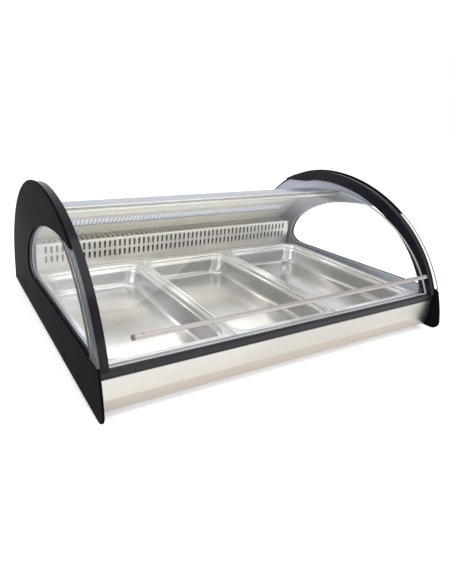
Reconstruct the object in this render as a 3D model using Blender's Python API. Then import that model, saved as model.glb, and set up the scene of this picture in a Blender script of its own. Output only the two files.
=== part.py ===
"""Hot food display case for three GN 1/1 pans: a counter-top case with curved lift-up front glass.

Metres, +Z up. X runs along the case, -Y is the customer's side, +Y is the service side.
The origin is at the centre of the bounding box's underside, on the plane the feet stand on.
"""
import math

import bmesh
import bpy
from mathutils import Matrix, Vector

# ---------------------------------------------------------------- driving dimensions
GAP = 0.0004                    # air kept between touching pieces
SHEET = 0.0012                  # stainless sheet

PAN_LENGTH = 0.530              # GN 1/1, front to back
PAN_WIDTH = 0.325               # GN 1/1, along the case
PAN_DEPTH = 0.065
PAN_PITCH = 0.327
PAN_FRONT_Y = -0.351
PAN_RIM_Z = 0.1042              # top of the rims
PAN_STEEL = 0.0010
PAN_RIM = 0.011                 # flat rim round the bowl

CHEEK_OUT_X = 0.514             # outer face of each end plate
CHEEK_THICK = 0.006
SIDE_GLASS_THICK = 0.005
LINER_IN_X = 0.495              # inner face of each end liner
ARCH_IN_X = 0.4880              # inboard face of each arch
REAR_Y = 0.419                  # rear edge of the end plates
TOE_Y = -0.419                  # foremost point of the end plates
PLATE_FOOT_Z = 0.012            # underside of the end plates, clear of the counter

CROWN_Y = 0.049                 # the end plates are highest here
FRONT_CURVE_Z = -0.033          # centre height of the front curve
FRONT_CURVE_B = 0.432
REAR_CURVE_Z = 0.070            # centre height of the rear curve
REAR_CURVE_A = REAR_Y - CROWN_Y
REAR_CURVE_B = FRONT_CURVE_Z + FRONT_CURVE_B - REAR_CURVE_Z
TOE_Z = 0.034                   # the toe's round starts here
FRONT_CURVE_A = (CROWN_Y - TOE_Y) / math.sqrt(1 - ((TOE_Z - FRONT_CURVE_Z) / FRONT_CURVE_B) ** 2)

ARCH_CURVE_Z = -0.010           # centre height of the arch's front curve
ARCH_A = 0.4606
ARCH_INSET = 0.004              # the arch lies this far inside the end plate's crown and rear
ARCH_B = FRONT_CURVE_Z + FRONT_CURVE_B - ARCH_INSET - ARCH_CURVE_Z
ARCH_DEPTH = 0.033
ARCH_END_OUT_Y = 0.255          # the arch's rear end is cut on a slant from here
ARCH_END_IN_Y = 0.150           # to here, where its inner edge stops

WINDOW_Y = -0.150               # centre of the window's upper curve
WINDOW_Z = 0.145
WINDOW_A = 0.345
WINDOW_B = 0.172
WINDOW_SILL_REAR_Z = 0.113
WINDOW_SILL_FRONT_Z = 0.125
WINDOW_SILL_REAR_Y = 0.134

GLASS_THICK = 0.005             # curved front glass
GLASS_Y = 0.009                 # centre of the glass's curve
GLASS_A = 0.408
GLASS_B = 0.341
GLASS_FOOT_Z = 0.1126
GLASS_HALF = ARCH_IN_X - 0.0006
HINGE_Y = 0.006                 # the glass turns about this line
HINGE_Z = 0.3335
HINGE_BARREL = 0.0054           # the top rail is round behind, so that it clears the roof as it turns
HANDLE_FOOT_Z = 0.155           # the handle's posts stand on the glass at this height
HANDLE_STAND = 0.0385           # from the glass to the middle of the bar
HANDLE_RADIUS = 0.0055
HANDLE_HALF = 0.444
HANDLE_POST_X = 0.421

BODY_HALF = CHEEK_OUT_X - CHEEK_THICK - GAP     # half width between the end plates
INNER_HALF = LINER_IN_X - GAP                   # half width between the liners
FRONT_Y = -0.3835                               # front face of the stainless panel
PANEL_FOOT_Z = 0.016
PANEL_TOP_Z = 0.0930
CREASE_Z = 0.045
RAIL_TOP_Z = 0.1120
DECK_Z = 0.1030                                 # top of the deck that the rims rest on
COVER_Y = 0.202                                 # front face of the heater cover
COVER_TOP_Z = 0.188
COVER_DEPTH = 0.060
REAR_PANEL_Y = 0.393
REAR_PANEL_TOP_Z = 0.172
ROOF_FRONT_Y = 0.0120
ROOF_REAR_Y = 0.1330
ROOF_FRONT_Z = 0.3390
ROOF_REAR_Z = 0.3270

SLOT_PITCH = 0.0170
SLOT_WIDTH = 0.0072
SLOT_COUNT = 55


# ---------------------------------------------------------------- helpers
def clear_scene():
    for item in list(bpy.data.objects):
        bpy.data.objects.remove(item, do_unlink=True)


def material(name, colour, rough, metal=0.0, alpha=1.0):
    made = bpy.data.materials.new(name)
    made.use_nodes = True
    shader = made.node_tree.nodes["Principled BSDF"]
    shader.inputs["Base Color"].default_value = (*colour, 1.0)
    shader.inputs["Roughness"].default_value = rough
    shader.inputs["Metallic"].default_value = metal
    shader.inputs["Alpha"].default_value = alpha
    made.diffuse_color = (*colour, 1.0)
    return made


def finish(bm, name, mat, smooth=None):
    """Turns a bmesh into a named object with outward faces."""
    bmesh.ops.remove_doubles(bm, verts=bm.verts, dist=1e-6)
    bmesh.ops.recalc_face_normals(bm, faces=bm.faces)
    mesh = bpy.data.meshes.new(name)
    bm.to_mesh(mesh)
    bm.free()
    mesh.materials.append(mat)
    if smooth is not None:
        mesh.shade_smooth()
        mesh.set_sharp_from_angle(angle=math.radians(smooth))
    made = bpy.data.objects.new(name, mesh)
    bpy.context.collection.objects.link(made)
    return made


def set_origin(item, point):
    """Moves an object's origin to point and leaves its shape where it is."""
    offset = Vector(point)
    item.data.transform(Matrix.Translation(-offset))
    item.location = offset


def bevel(item, width, segments=1, angle=40):
    made = item.modifiers.new("edges", "BEVEL")
    made.width = width
    made.segments = segments
    made.limit_method = "ANGLE"
    made.angle_limit = math.radians(angle)


def prism(name, mat, outline, x0, x1, smooth=None):
    """An outline of (y, z) points carried along X."""
    bm = bmesh.new()
    ends = [[bm.verts.new((x, y, z)) for y, z in outline] for x in (x0, x1)]
    bm.faces.new(ends[0])
    bm.faces.new(ends[1])
    for i in range(len(outline)):
        j = (i + 1) % len(outline)
        bm.faces.new((ends[0][i], ends[0][j], ends[1][j], ends[1][i]))
    return finish(bm, name, mat, smooth)


def box(name, mat, low, high):
    bm = bmesh.new()
    bmesh.ops.create_cube(bm, size=1.0)
    size = Vector(high) - Vector(low)
    middle = (Vector(high) + Vector(low)) / 2
    bmesh.ops.transform(bm, matrix=Matrix.Translation(middle) @ Matrix.Diagonal((*size, 1)), verts=bm.verts)
    return finish(bm, name, mat)


def turned(name, mat, profile, centre, axis, segments=32, smooth=35):
    """A profile of (radius, along) points turned about axis through centre; the ends close on the axis."""
    turn = Vector((0, 0, 1)).rotation_difference(Vector(axis)).to_matrix().to_4x4()
    place = Matrix.Translation(centre) @ turn
    bm = bmesh.new()
    rings = []
    for radius, along in profile:
        if radius == 0:
            rings.append([bm.verts.new(place @ Vector((0, 0, along)))])
            continue
        angles = [2 * math.pi * k / segments for k in range(segments)]
        rings.append([bm.verts.new(place @ Vector((radius * math.cos(a), radius * math.sin(a), along)))
                      for a in angles])
    for low, high in zip(rings, rings[1:]):
        for k in range(segments):
            n = (k + 1) % segments
            if len(low) == 1:
                bm.faces.new((low[0], high[n], high[k]))
            elif len(high) == 1:
                bm.faces.new((low[k], low[n], high[0]))
            else:
                bm.faces.new((low[k], low[n], high[n], high[k]))
    return finish(bm, name, mat, smooth)


def rod(name, mat, start, end, radius, segments=24, edge=0.0):
    start, end = Vector(start), Vector(end)
    length = (end - start).length
    profile = [(0, 0), (radius, 0), (radius, length), (0, length)]
    if edge:
        profile = [(0, 0), (radius - edge, 0), (radius, edge), (radius, length - edge),
                   (radius - edge, length), (0, length)]
    return turned(name, mat, profile, start, end - start, segments)


def rounded_rectangle(half_x, half_y, radius, steps):
    """Points of a rounded rectangle about the origin, anticlockwise."""
    points = []
    for quarter, (sx, sy) in enumerate(((1, 1), (-1, 1), (-1, -1), (1, -1))):
        for k in range(steps + 1):
            a = math.pi / 2 * (quarter + k / steps)
            points.append((sx * (half_x - radius) + radius * math.cos(a),
                           sy * (half_y - radius) + radius * math.sin(a)))
    return points


def rings_solid(name, mat, rings, smooth=35):
    """A closed solid from rings of equal length; the first and the last ring are capped."""
    bm = bmesh.new()
    made = [[bm.verts.new(p) for p in ring] for ring in rings]
    bm.faces.new(made[0])
    bm.faces.new(made[-1])
    for low, high in zip(made, made[1:]):
        for k in range(len(low)):
            n = (k + 1) % len(low)
            bm.faces.new((low[k], low[n], high[n], high[k]))
    return finish(bm, name, mat, smooth)


def cut(item, cutter):
    made = item.modifiers.new("cut", "BOOLEAN")
    made.operation = "DIFFERENCE"
    made.solver = "EXACT"
    made.object = cutter
    cutter.hide_render = True
    cutter.display_type = "WIRE"


def join_boxes(name, mat, boxes):
    """One mesh of separate boxes, used only as a cutter."""
    bm = bmesh.new()
    for low, high in boxes:
        size = Vector(high) - Vector(low)
        middle = (Vector(high) + Vector(low)) / 2
        place = Matrix.Translation(middle) @ Matrix.Diagonal((*size, 1))
        bmesh.ops.create_cube(bm, size=1.0, matrix=place)
    mesh = bpy.data.meshes.new(name)
    bm.to_mesh(mesh)
    bm.free()
    mesh.materials.append(mat)
    made = bpy.data.objects.new(name, mesh)
    bpy.context.collection.objects.link(made)
    return made


def curve_z(y, centre_y, centre_z, a, b):
    return centre_z + b * math.sqrt(max(0.0, 1 - ((y - centre_y) / a) ** 2))


def arc(centre, a, b, start, end, steps):
    """Points of an elliptic arc in (y, z); angles in degrees, 0 towards +Y, 90 up."""
    cy, cz = centre
    points = []
    for k in range(steps + 1):
        t = math.radians(start + (end - start) * k / steps)
        points.append((cy + a * math.cos(t), cz + b * math.sin(t)))
    return points


def angle_at_z(z, centre_z, b):
    """Angle, in the front quadrant, where an elliptic arc passes height z."""
    return 180 - math.degrees(math.asin((z - centre_z) / b))


# ---------------------------------------------------------------- outlines of the ends
def window_sill_z(y):
    run = (WINDOW_SILL_REAR_Y - y) / (WINDOW_SILL_REAR_Y - PAN_FRONT_Y)
    return WINDOW_SILL_REAR_Z + (WINDOW_SILL_FRONT_Z - WINDOW_SILL_REAR_Z) * run


def window_rear(grow=0.0, start_y=None, steps=22):
    """The window's upper curve from start_y to its rear end, then down to the sill's rear end."""
    a, b = WINDOW_A + grow, WINDOW_B + grow
    first = math.degrees(math.acos((start_y - WINDOW_Y) / a))
    upper = arc((WINDOW_Y, WINDOW_Z), a, b, first, 0, steps)
    rear_a = WINDOW_Y + WINDOW_A - WINDOW_SILL_REAR_Y + grow
    rear_b = WINDOW_Z - WINDOW_SILL_REAR_Z + grow
    lower = arc((WINDOW_SILL_REAR_Y, WINDOW_Z), rear_a, rear_b, 0, -90, 8)
    return upper + lower[1:]


def meeting_y(centre_z, a, b, grow):
    """Where the window's upper curve, grown by grow, meets a front curve about the crown line."""
    low, high = -0.30, CROWN_Y
    for _ in range(60):
        y = (low + high) / 2
        if curve_z(y, CROWN_Y, centre_z, a, b) < curve_z(y, WINDOW_Y, WINDOW_Z, WINDOW_A + grow, WINDOW_B + grow):
            low = y
        else:
            high = y
    return (low + high) / 2


def front_angle(y, a):
    """Angle, in the front quadrant, where a curve about the crown line passes y."""
    return 180 - math.degrees(math.acos((CROWN_Y - y) / a))


def rear_angle(y, a):
    return math.degrees(math.acos((y - CROWN_Y) / a))


def cheek_outline():
    """The black end plate: a hook shape, open at the front between the window's two tips."""
    centre_front = (CROWN_Y, FRONT_CURVE_Z)
    tip_y = meeting_y(FRONT_CURVE_Z, FRONT_CURVE_A, FRONT_CURVE_B, 0.0)
    rear = arc((CROWN_Y, REAR_CURVE_Z), REAR_CURVE_A, REAR_CURVE_B, 0, 90, 22)
    front = arc(centre_front, FRONT_CURVE_A, FRONT_CURVE_B, 90, front_angle(tip_y, FRONT_CURVE_A), 18)[1:]
    shoulder_z = WINDOW_SILL_FRONT_Z + 0.001
    corner = 0.012
    low_front = arc(centre_front, FRONT_CURVE_A, FRONT_CURVE_B,
                    angle_at_z(shoulder_z - corner, FRONT_CURVE_Z, FRONT_CURVE_B),
                    angle_at_z(TOE_Z, FRONT_CURVE_Z, FRONT_CURVE_B), 8)
    shoulder = arc((low_front[0][0] + corner, shoulder_z - corner), corner, corner, 90, 180, 5)[:-1]
    toe_radius = TOE_Z - PLATE_FOOT_Z
    toe = arc((TOE_Y + toe_radius, TOE_Z), toe_radius, toe_radius, 180, 270, 6)[1:]
    points = [(REAR_Y, PLATE_FOOT_Z)] + rear + front
    points += window_rear(start_y=tip_y)[1:]
    points += shoulder + low_front + toe
    return points


def arch_curve(offset, low_z, end_y, steps=30):
    """One edge of the arch from height low_z at the front, over the crown, to end_y behind it."""
    a, b = ARCH_A - offset, ARCH_B - offset
    front = arc((CROWN_Y, ARCH_CURVE_Z), a, b, angle_at_z(low_z, ARCH_CURVE_Z, b), 90, steps)
    rear_a, rear_b = REAR_CURVE_A - ARCH_INSET - offset, REAR_CURVE_B - ARCH_INSET - offset
    rear = arc((CROWN_Y, REAR_CURVE_Z), rear_a, rear_b, 90, rear_angle(end_y, rear_a), 8)
    return front + rear[1:]


def arch_outline():
    """The arch stands on the front rail; its foot drops behind the rail to the deck."""
    stand_z = RAIL_TOP_Z + GAP
    outer = arch_curve(0.0, stand_z, ARCH_END_OUT_Y)
    inner = arch_curve(ARCH_DEPTH, stand_z, ARCH_END_IN_Y)
    inner.reverse()
    foot_rear, foot_front = inner[-1][0] - 0.0010, FRONT_Y + 0.0090
    foot = [(foot_rear, stand_z), (foot_rear, DECK_Z + GAP), (foot_front, DECK_Z + GAP), (foot_front, stand_z)]
    return outer + inner + foot


def side_glass_outline():
    """The D-shaped end pane: its front edge meets the arch, the rest is behind the end plate."""
    grow = 0.010
    clear = ARCH_DEPTH + GAP
    tip_y = meeting_y(ARCH_CURVE_Z, ARCH_A - clear, ARCH_B - clear, grow)
    front = [p for p in arch_curve(clear, RAIL_TOP_Z, CROWN_Y + 0.01) if p[0] < tip_y]
    sill = DECK_Z + GAP
    rear = [(y, max(z, sill)) for y, z in window_rear(grow, tip_y)]
    return front + rear + [(front[0][0], sill)]


def liner_outline():
    """The inner end liner: it follows the window, the arch's inner edge and the plate's rear edge."""
    inset = 0.012
    clear = ARCH_DEPTH + GAP
    a, b = ARCH_A - clear, ARCH_B - clear
    tip_y = meeting_y(ARCH_CURVE_Z, a, b, 0.0)
    rear_a, rear_b = REAR_CURVE_A - inset, REAR_CURVE_B - inset
    low_z = PANEL_FOOT_Z + 0.004
    points = [(REAR_Y - inset, low_z)]
    points += arc((CROWN_Y, REAR_CURVE_Z), rear_a, rear_b, 0, rear_angle(ARCH_END_OUT_Y - 0.019, rear_a), 16)
    under_arch = arch_curve(clear, 0.25, ARCH_END_IN_Y)
    under_arch.reverse()
    points += [p for p in under_arch if p[0] > tip_y]
    points += window_rear(start_y=tip_y)
    sill_z = WINDOW_SILL_FRONT_Z + 0.002
    front_y = CROWN_Y - (ARCH_A - ARCH_DEPTH) * math.sqrt(1 - ((sill_z - ARCH_CURVE_Z) / (ARCH_B - ARCH_DEPTH)) ** 2)
    front_y += 0.001
    points += [(front_y, window_sill_z(front_y)), (front_y, DECK_Z - 0.002), (FRONT_Y + 0.0190, DECK_Z - 0.002),
               (FRONT_Y + 0.0190, low_z)]
    return points


# ---------------------------------------------------------------- end assemblies
def build_ends(mats):
    for side, sign in (("left", -1), ("right", 1)):
        out = CHEEK_OUT_X
        plate_in = out - CHEEK_THICK
        glass_out = plate_in - GAP
        glass_in = glass_out - SIDE_GLASS_THICK
        cheek = prism(f"cheek_{side}", mats["black"], cheek_outline(), sign * plate_in, sign * out, 30)
        bevel(cheek, 0.0015, 2)
        prism(f"side_glass_{side}", mats["glass"], side_glass_outline(), sign * glass_in, sign * glass_out, 30)
        arch = prism(f"arch_{side}", mats["black"], arch_outline(), sign * ARCH_IN_X,
                     sign * glass_out, 30)
        bevel(arch, 0.0030, 3)
        prism(f"liner_{side}", mats["liner"], liner_outline(), sign * LINER_IN_X, sign * (glass_in - GAP), 30)


# ---------------------------------------------------------------- base and panels
def build_base(mats):
    steel = mats["steel"]
    foot_z, sheet = PANEL_FOOT_Z, SHEET
    rear = REAR_PANEL_Y - GAP
    front = FRONT_Y + 0.014
    lip = 0.020
    base = [(front, foot_z + lip), (front, foot_z), (rear, foot_z), (rear, foot_z + lip),
            (rear - sheet, foot_z + lip), (rear - sheet, foot_z + sheet),
            (front + sheet, foot_z + sheet), (front + sheet, foot_z + lip)]
    prism("base_pan", steel, base, -INNER_HALF, INNER_HALF)

    lean = 0.003
    flange = 0.012
    panel = [(FRONT_Y, PANEL_TOP_Z), (FRONT_Y, CREASE_Z), (FRONT_Y + lean, foot_z),
             (FRONT_Y + flange, foot_z), (FRONT_Y + flange, foot_z + sheet),
             (FRONT_Y + lean + sheet, foot_z + sheet), (FRONT_Y + sheet, CREASE_Z),
             (FRONT_Y + sheet, PANEL_TOP_Z - sheet), (FRONT_Y + flange, PANEL_TOP_Z - sheet),
             (FRONT_Y + flange, PANEL_TOP_Z)]
    prism("front_panel", steel, panel, -BODY_HALF, BODY_HALF)

    rail_low = PANEL_TOP_Z + GAP
    nose = 0.0045
    rail_round = arc((FRONT_Y - 0.0005 + nose, RAIL_TOP_Z - nose), nose, nose, 180, 90, 5)
    rail = rail_round + [(FRONT_Y + 0.0062, RAIL_TOP_Z), (FRONT_Y + 0.0062, DECK_Z - 0.0030),
                         (FRONT_Y + 0.0180, DECK_Z - 0.0030), (FRONT_Y + 0.0180, rail_low),
                         (FRONT_Y - 0.0005, rail_low)]
    prism("front_rail", mats["black"], rail, -BODY_HALF, BODY_HALF, 35)

    seat_front = FRONT_Y + 0.0066
    seat_rear = PAN_FRONT_Y - 0.0012
    seat = [(seat_front, DECK_Z + GAP), (seat_rear, DECK_Z + GAP), (seat_rear, DECK_Z + 0.0020),
            (seat_front + 0.0080, RAIL_TOP_Z - 0.0020), (seat_front, RAIL_TOP_Z - 0.0020)]
    seat_half = ARCH_IN_X - GAP
    prism("glass_seat", mats["seal"], seat, -seat_half, seat_half)


def build_deck(mats):
    """The deck frame round the well, the two bars between the pans, and the insulated well tray."""
    front, rear = FRONT_Y + 0.0066, COVER_Y - 0.0010
    half = INNER_HALF
    deck = box("well_deck", mats["steel"], (-half, front, DECK_Z - 0.0015), (half, rear, DECK_Z))
    open_half = PAN_PITCH + PAN_WIDTH / 2 - 0.0095
    opening = box("well_opening", mats["steel"], (-open_half, PAN_FRONT_Y + 0.0095, DECK_Z - 0.02),
                  (open_half, PAN_FRONT_Y + PAN_LENGTH - 0.0095, DECK_Z + 0.02))
    cut(deck, opening)

    bar_half = 0.0090
    for side, sign in (("left", -1), ("right", 1)):
        x = sign * PAN_PITCH / 2
        y0, y1 = PAN_FRONT_Y + 0.0100, PAN_FRONT_Y + PAN_LENGTH - 0.0100
        box(f"divider_bar_{side}", mats["steel"], (x - bar_half, y0, DECK_Z - 0.012),
            (x + bar_half, y1, DECK_Z))

    tray_half = open_half + 0.003
    y0, y1 = PAN_FRONT_Y + 0.0060, PAN_FRONT_Y + PAN_LENGTH - 0.0060
    low, high = PANEL_FOOT_Z + 0.006, DECK_Z - 0.0019
    tray = box("well_tray", mats["steel"], (-tray_half, y0, low), (tray_half, y1, high))
    hollow = box("well_hollow", mats["steel"], (-tray_half + SHEET, y0 + SHEET, low + SHEET),
                 (tray_half - SHEET, y1 - SHEET, high + 0.02))
    cut(tray, hollow)


def pan_ring(cx, cy, grow, radius, z, steps=5):
    points = rounded_rectangle(PAN_WIDTH / 2 + grow, PAN_LENGTH / 2 + grow, radius, steps)
    return [(cx + x, cy + y, z) for x, y in points]


def build_pans(mats):
    """Three GN 1/1 trays, each one pressed sheet: rim, stepped wall, floor, then back up outside."""
    cy = PAN_FRONT_Y + PAN_LENGTH / 2
    z = PAN_RIM_Z
    for name, k in (("left", -1), ("centre", 0), ("right", 1)):
        cx = k * PAN_PITCH
        rim = -PAN_RIM
        floor = z - PAN_DEPTH
        steel = PAN_STEEL
        inside = [(0.0, 0.014, z), (rim, 0.030, z), (rim - 0.003, 0.028, z - 0.003),
                  (rim - 0.003, 0.028, z - 0.010), (rim - 0.007, 0.032, z - 0.013),
                  (rim - 0.014, 0.040, floor + 0.012), (rim - 0.023, 0.048, floor)]
        outside = [(grow + steel, radius, height - steel) for grow, radius, height in reversed(inside[1:])]
        outside = outside[:-1] + [(rim + steel, 0.030, z - steel), (0.0, 0.014, z - steel)]
        rings = [pan_ring(cx, cy, grow, radius, height) for grow, radius, height in reversed(inside)]
        rings += [pan_ring(cx, cy, grow, radius, height) for grow, radius, height in reversed(outside)]
        pan = rings_solid(f"gn_pan_{name}", mats["pan"], rings, 40)
        set_origin(pan, (cx, cy, z))


def build_heater_cover(mats):
    """The folded, slotted cover of the air heater: two rows of slots in its face and one in its top."""
    half = INNER_HALF - 0.008
    y0, top = COVER_Y, COVER_TOP_Z
    back = y0 + COVER_DEPTH
    sheet = 0.0015
    low = DECK_Z + GAP
    outline = [(y0, low), (y0, top), (back, top), (back, top - 0.010), (back - sheet, top - 0.010),
               (back - sheet, top - sheet), (y0 + sheet, top - sheet), (y0 + sheet, low)]
    cover = prism("heater_cover", mats["pan"], outline, -half, half)
    slots = []
    for k in range(SLOT_COUNT):
        x = (k - (SLOT_COUNT - 1) / 2) * SLOT_PITCH
        x0, x1 = x - SLOT_WIDTH / 2, x + SLOT_WIDTH / 2
        for z0, z1 in ((top - 0.060, top - 0.038), (top - 0.031, top - 0.008)):
            slots.append(((x0, y0 - 0.002, z0), (x1, y0 + 0.004, z1)))
        slots.append(((x0, y0 + 0.008, top - 0.004), (x1, y0 + 0.052, top + 0.002)))
    cut(cover, join_boxes("cover_slots", mats["pan"], slots))


def build_rear(mats):
    """Back wall, light bar, roof, rear hood and rear panel."""
    steel = mats["steel"]
    half = INNER_HALF
    wall_foot = (COVER_Y + COVER_DEPTH + 0.0045, COVER_TOP_Z - 0.004)
    wall_knee = (COVER_Y - 0.0180, 0.2720)
    wall_top = (ROOF_REAR_Y - 0.0010, ROOF_REAR_Z - 0.0060)
    sheet = 0.0012
    wall = [wall_foot, wall_knee, wall_top, (wall_top[0] + sheet, wall_top[1] + sheet),
            (wall_knee[0] + sheet, wall_knee[1] + sheet * 0.6), (wall_foot[0] + sheet, wall_foot[1] + 0.0002)]
    prism("back_wall", mats["mirror_steel"], wall, -half, half)

    along = Vector((wall_knee[0] - wall_foot[0], wall_knee[1] - wall_foot[1])).normalized()
    out = Vector((-along.y, along.x))
    start = Vector(wall_foot) + along * 0.074

    def on_wall(up, proud):
        point = start + along * up + out * proud
        return (point.x, point.y)

    frame = [on_wall(0.0, 0.0006), on_wall(0.036, 0.0006), on_wall(0.036, 0.0090), on_wall(0.0338, 0.0090),
             on_wall(0.0338, 0.0030), on_wall(0.0022, 0.0030), on_wall(0.0022, 0.0090), on_wall(0.0, 0.0090)]
    light_half = 0.434
    prism("light_housing", mats["steel"], frame, -light_half, light_half)
    lens = [on_wall(0.0026, 0.0034), on_wall(0.0334, 0.0034), on_wall(0.0334, 0.0085), on_wall(0.0026, 0.0085)]
    third = 2 * light_half / 3
    for k, name in enumerate(("left", "centre", "right")):
        x0 = -light_half + k * third
        prism(f"light_lens_{name}", mats["lens"], lens, x0 + 0.0015, x0 + third - 0.0015)

    lip = 0.0150
    roof = [(ROOF_FRONT_Y, ROOF_FRONT_Z), (ROOF_REAR_Y, ROOF_REAR_Z), (ROOF_REAR_Y, ROOF_REAR_Z - 0.0015),
            (ROOF_FRONT_Y + 0.0015, ROOF_FRONT_Z - 0.0016), (ROOF_FRONT_Y + 0.0035, ROOF_FRONT_Z - lip),
            (ROOF_FRONT_Y + 0.0020, ROOF_FRONT_Z - lip)]
    prism("roof_plate", steel, roof, -half, half)

    hood_top = (ROOF_REAR_Y + GAP, ROOF_REAR_Z)
    hood_knee = (REAR_PANEL_Y + 0.0010, REAR_PANEL_TOP_Z + 0.004)
    hood = [hood_top, hood_knee, (hood_knee[0], REAR_PANEL_TOP_Z - 0.012),
            (hood_knee[0] - 0.0012, REAR_PANEL_TOP_Z - 0.012), (hood_knee[0] - 0.0012, hood_knee[1] - 0.0010),
            (hood_top[0], hood_top[1] - 0.0016)]
    prism("rear_hood", steel, hood, -half, half)

    panel_y = REAR_PANEL_Y
    panel = box("rear_panel", steel, (-half, panel_y - 0.0014, PANEL_FOOT_Z + 0.0225),
                (half, panel_y - 0.0004, REAR_PANEL_TOP_Z - 0.0005))
    cutters = [((x - hw, panel_y - 0.01, z - hh), (x + hw, panel_y + 0.01, z + hh))
               for x, z, hw, hh in ((SWITCH_X, CONTROL_Z, 0.0138, 0.0108), (LIGHT_SWITCH_X, CONTROL_Z, 0.0138, 0.0108),
                                    (KNOB_X, CONTROL_Z, 0.0045, 0.0045), (LAMP_X, CONTROL_Z, 0.0060, 0.0060),
                                    (INLET_X, INLET_Z, 0.0085, 0.0085))]
    for k in range(14):
        x = VENT_X + (k - 6.5) * 0.014
        cutters.append(((x - 0.003, panel_y - 0.01, 0.066), (x + 0.003, panel_y + 0.01, 0.126)))
    cut(panel, join_boxes("rear_cutouts", steel, cutters))


# ---------------------------------------------------------------- controls on the rear panel
CONTROL_Z = 0.118
KNOB_X = 0.400
LAMP_X = 0.345
SWITCH_X = 0.295
LIGHT_SWITCH_X = 0.245
INLET_X = -0.430
INLET_Z = 0.060
VENT_X = 0.0


def build_controls(mats):
    face = REAR_PANEL_Y - 0.0004
    plastic = mats["plastic"]
    turned("thermostat", mats["steel"], [(0, -0.030), (0.018, -0.030), (0.018, -0.0016), (0.0038, -0.0016),
                                          (0.0038, 0.0090), (0, 0.0090)],
           (KNOB_X, face, CONTROL_Z), (0, 1, 0), 28)
    knob = turned("thermostat_knob", plastic,
                  [(0, 0.0094), (0.0042, 0.0094), (0.0042, 0.0010), (0.0210, 0.0010), (0.0210, 0.0040),
                   (0.0170, 0.0060), (0.0158, 0.0190), (0.0140, 0.0205), (0, 0.0205)],
                  (KNOB_X, face, CONTROL_Z), (0, 1, 0), 28)
    set_origin(knob, (KNOB_X, face, CONTROL_Z))
    turned("pilot_lamp", mats["amber"], [(0, -0.018), (0.0050, -0.018), (0.0050, 0.0004), (0.0075, 0.0004),
                                         (0.0075, 0.0030), (0.0045, 0.0055), (0, 0.0062)],
           (LAMP_X, face, CONTROL_Z), (0, 1, 0), 20)
    for name, x in (("power_switch", SWITCH_X), ("light_switch", LIGHT_SWITCH_X)):
        rings = [[(x + sx * hx, face + y, CONTROL_Z + sz * hz) for sx, sz in ((1, 1), (-1, 1), (-1, -1), (1, -1))]
                 for hx, hz, y in ((0.0133, 0.0103, -0.0160), (0.0133, 0.0103, 0.0004), (0.0155, 0.0125, 0.0004),
                                   (0.0155, 0.0125, 0.0025), (0.0118, 0.0092, 0.0025), (0.0118, 0.0092, -0.0120))]
        rings_solid(f"{name}_frame", plastic, rings, None)
        # the rocker turns about X; at rest its lower half is pressed in
        reach, high, low = 0.0070, 0.0062, 0.0028
        outline = [(face - 0.0060, CONTROL_Z - reach), (face + low, CONTROL_Z - reach),
                   (face + 0.0030, CONTROL_Z), (face + high, CONTROL_Z + reach), (face - 0.0060, CONTROL_Z + reach)]
        rocker = prism(f"{name}_rocker", mats["rocker"], outline, x - 0.0110, x + 0.0110)
        set_origin(rocker, (x, face, CONTROL_Z))
    turned("cable_gland", plastic, [(0, -0.014), (0.0078, -0.014), (0.0078, 0.0004), (0.0130, 0.0004),
                                    (0.0130, 0.0070), (0.0100, 0.0085), (0.0092, 0.0200), (0.0060, 0.0230),
                                    (0.0042, 0.0230), (0.0042, -0.0100), (0, -0.0100)],
           (INLET_X, face, INLET_Z), (0, 1, 0), 24)


# ---------------------------------------------------------------- heat and air
def tube_loop(name, mat, points, radius, sides=8):
    """A round bar with capped ends along a smooth list of points."""
    bm = bmesh.new()
    rings = []
    count = len(points)
    for i, p in enumerate(points):
        ahead = Vector(points[min(i + 1, count - 1)]) - Vector(points[max(i - 1, 0)])
        ahead.normalize()
        side = Vector((0, 0, 1)).cross(ahead) if abs(ahead.z) < 0.9 else Vector((1, 0, 0))
        side.normalize()
        up = ahead.cross(side)
        rings.append([bm.verts.new(Vector(p) + radius * (math.cos(a) * side + math.sin(a) * up))
                      for a in (2 * math.pi * k / sides for k in range(sides))])
    bm.faces.new(rings[0])
    bm.faces.new(rings[-1])
    for low, high in zip(rings, rings[1:]):
        for k in range(sides):
            n = (k + 1) % sides
            bm.faces.new((low[k], low[n], high[n], high[k]))
    return finish(bm, name, mat, 50)


def bend(centre, radius, start, end, z, steps=6):
    cx, cy = centre
    return [(cx + radius * math.cos(math.radians(start + (end - start) * k / steps)),
             cy + radius * math.sin(math.radians(start + (end - start) * k / steps)), z)
            for k in range(steps + 1)]


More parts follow.
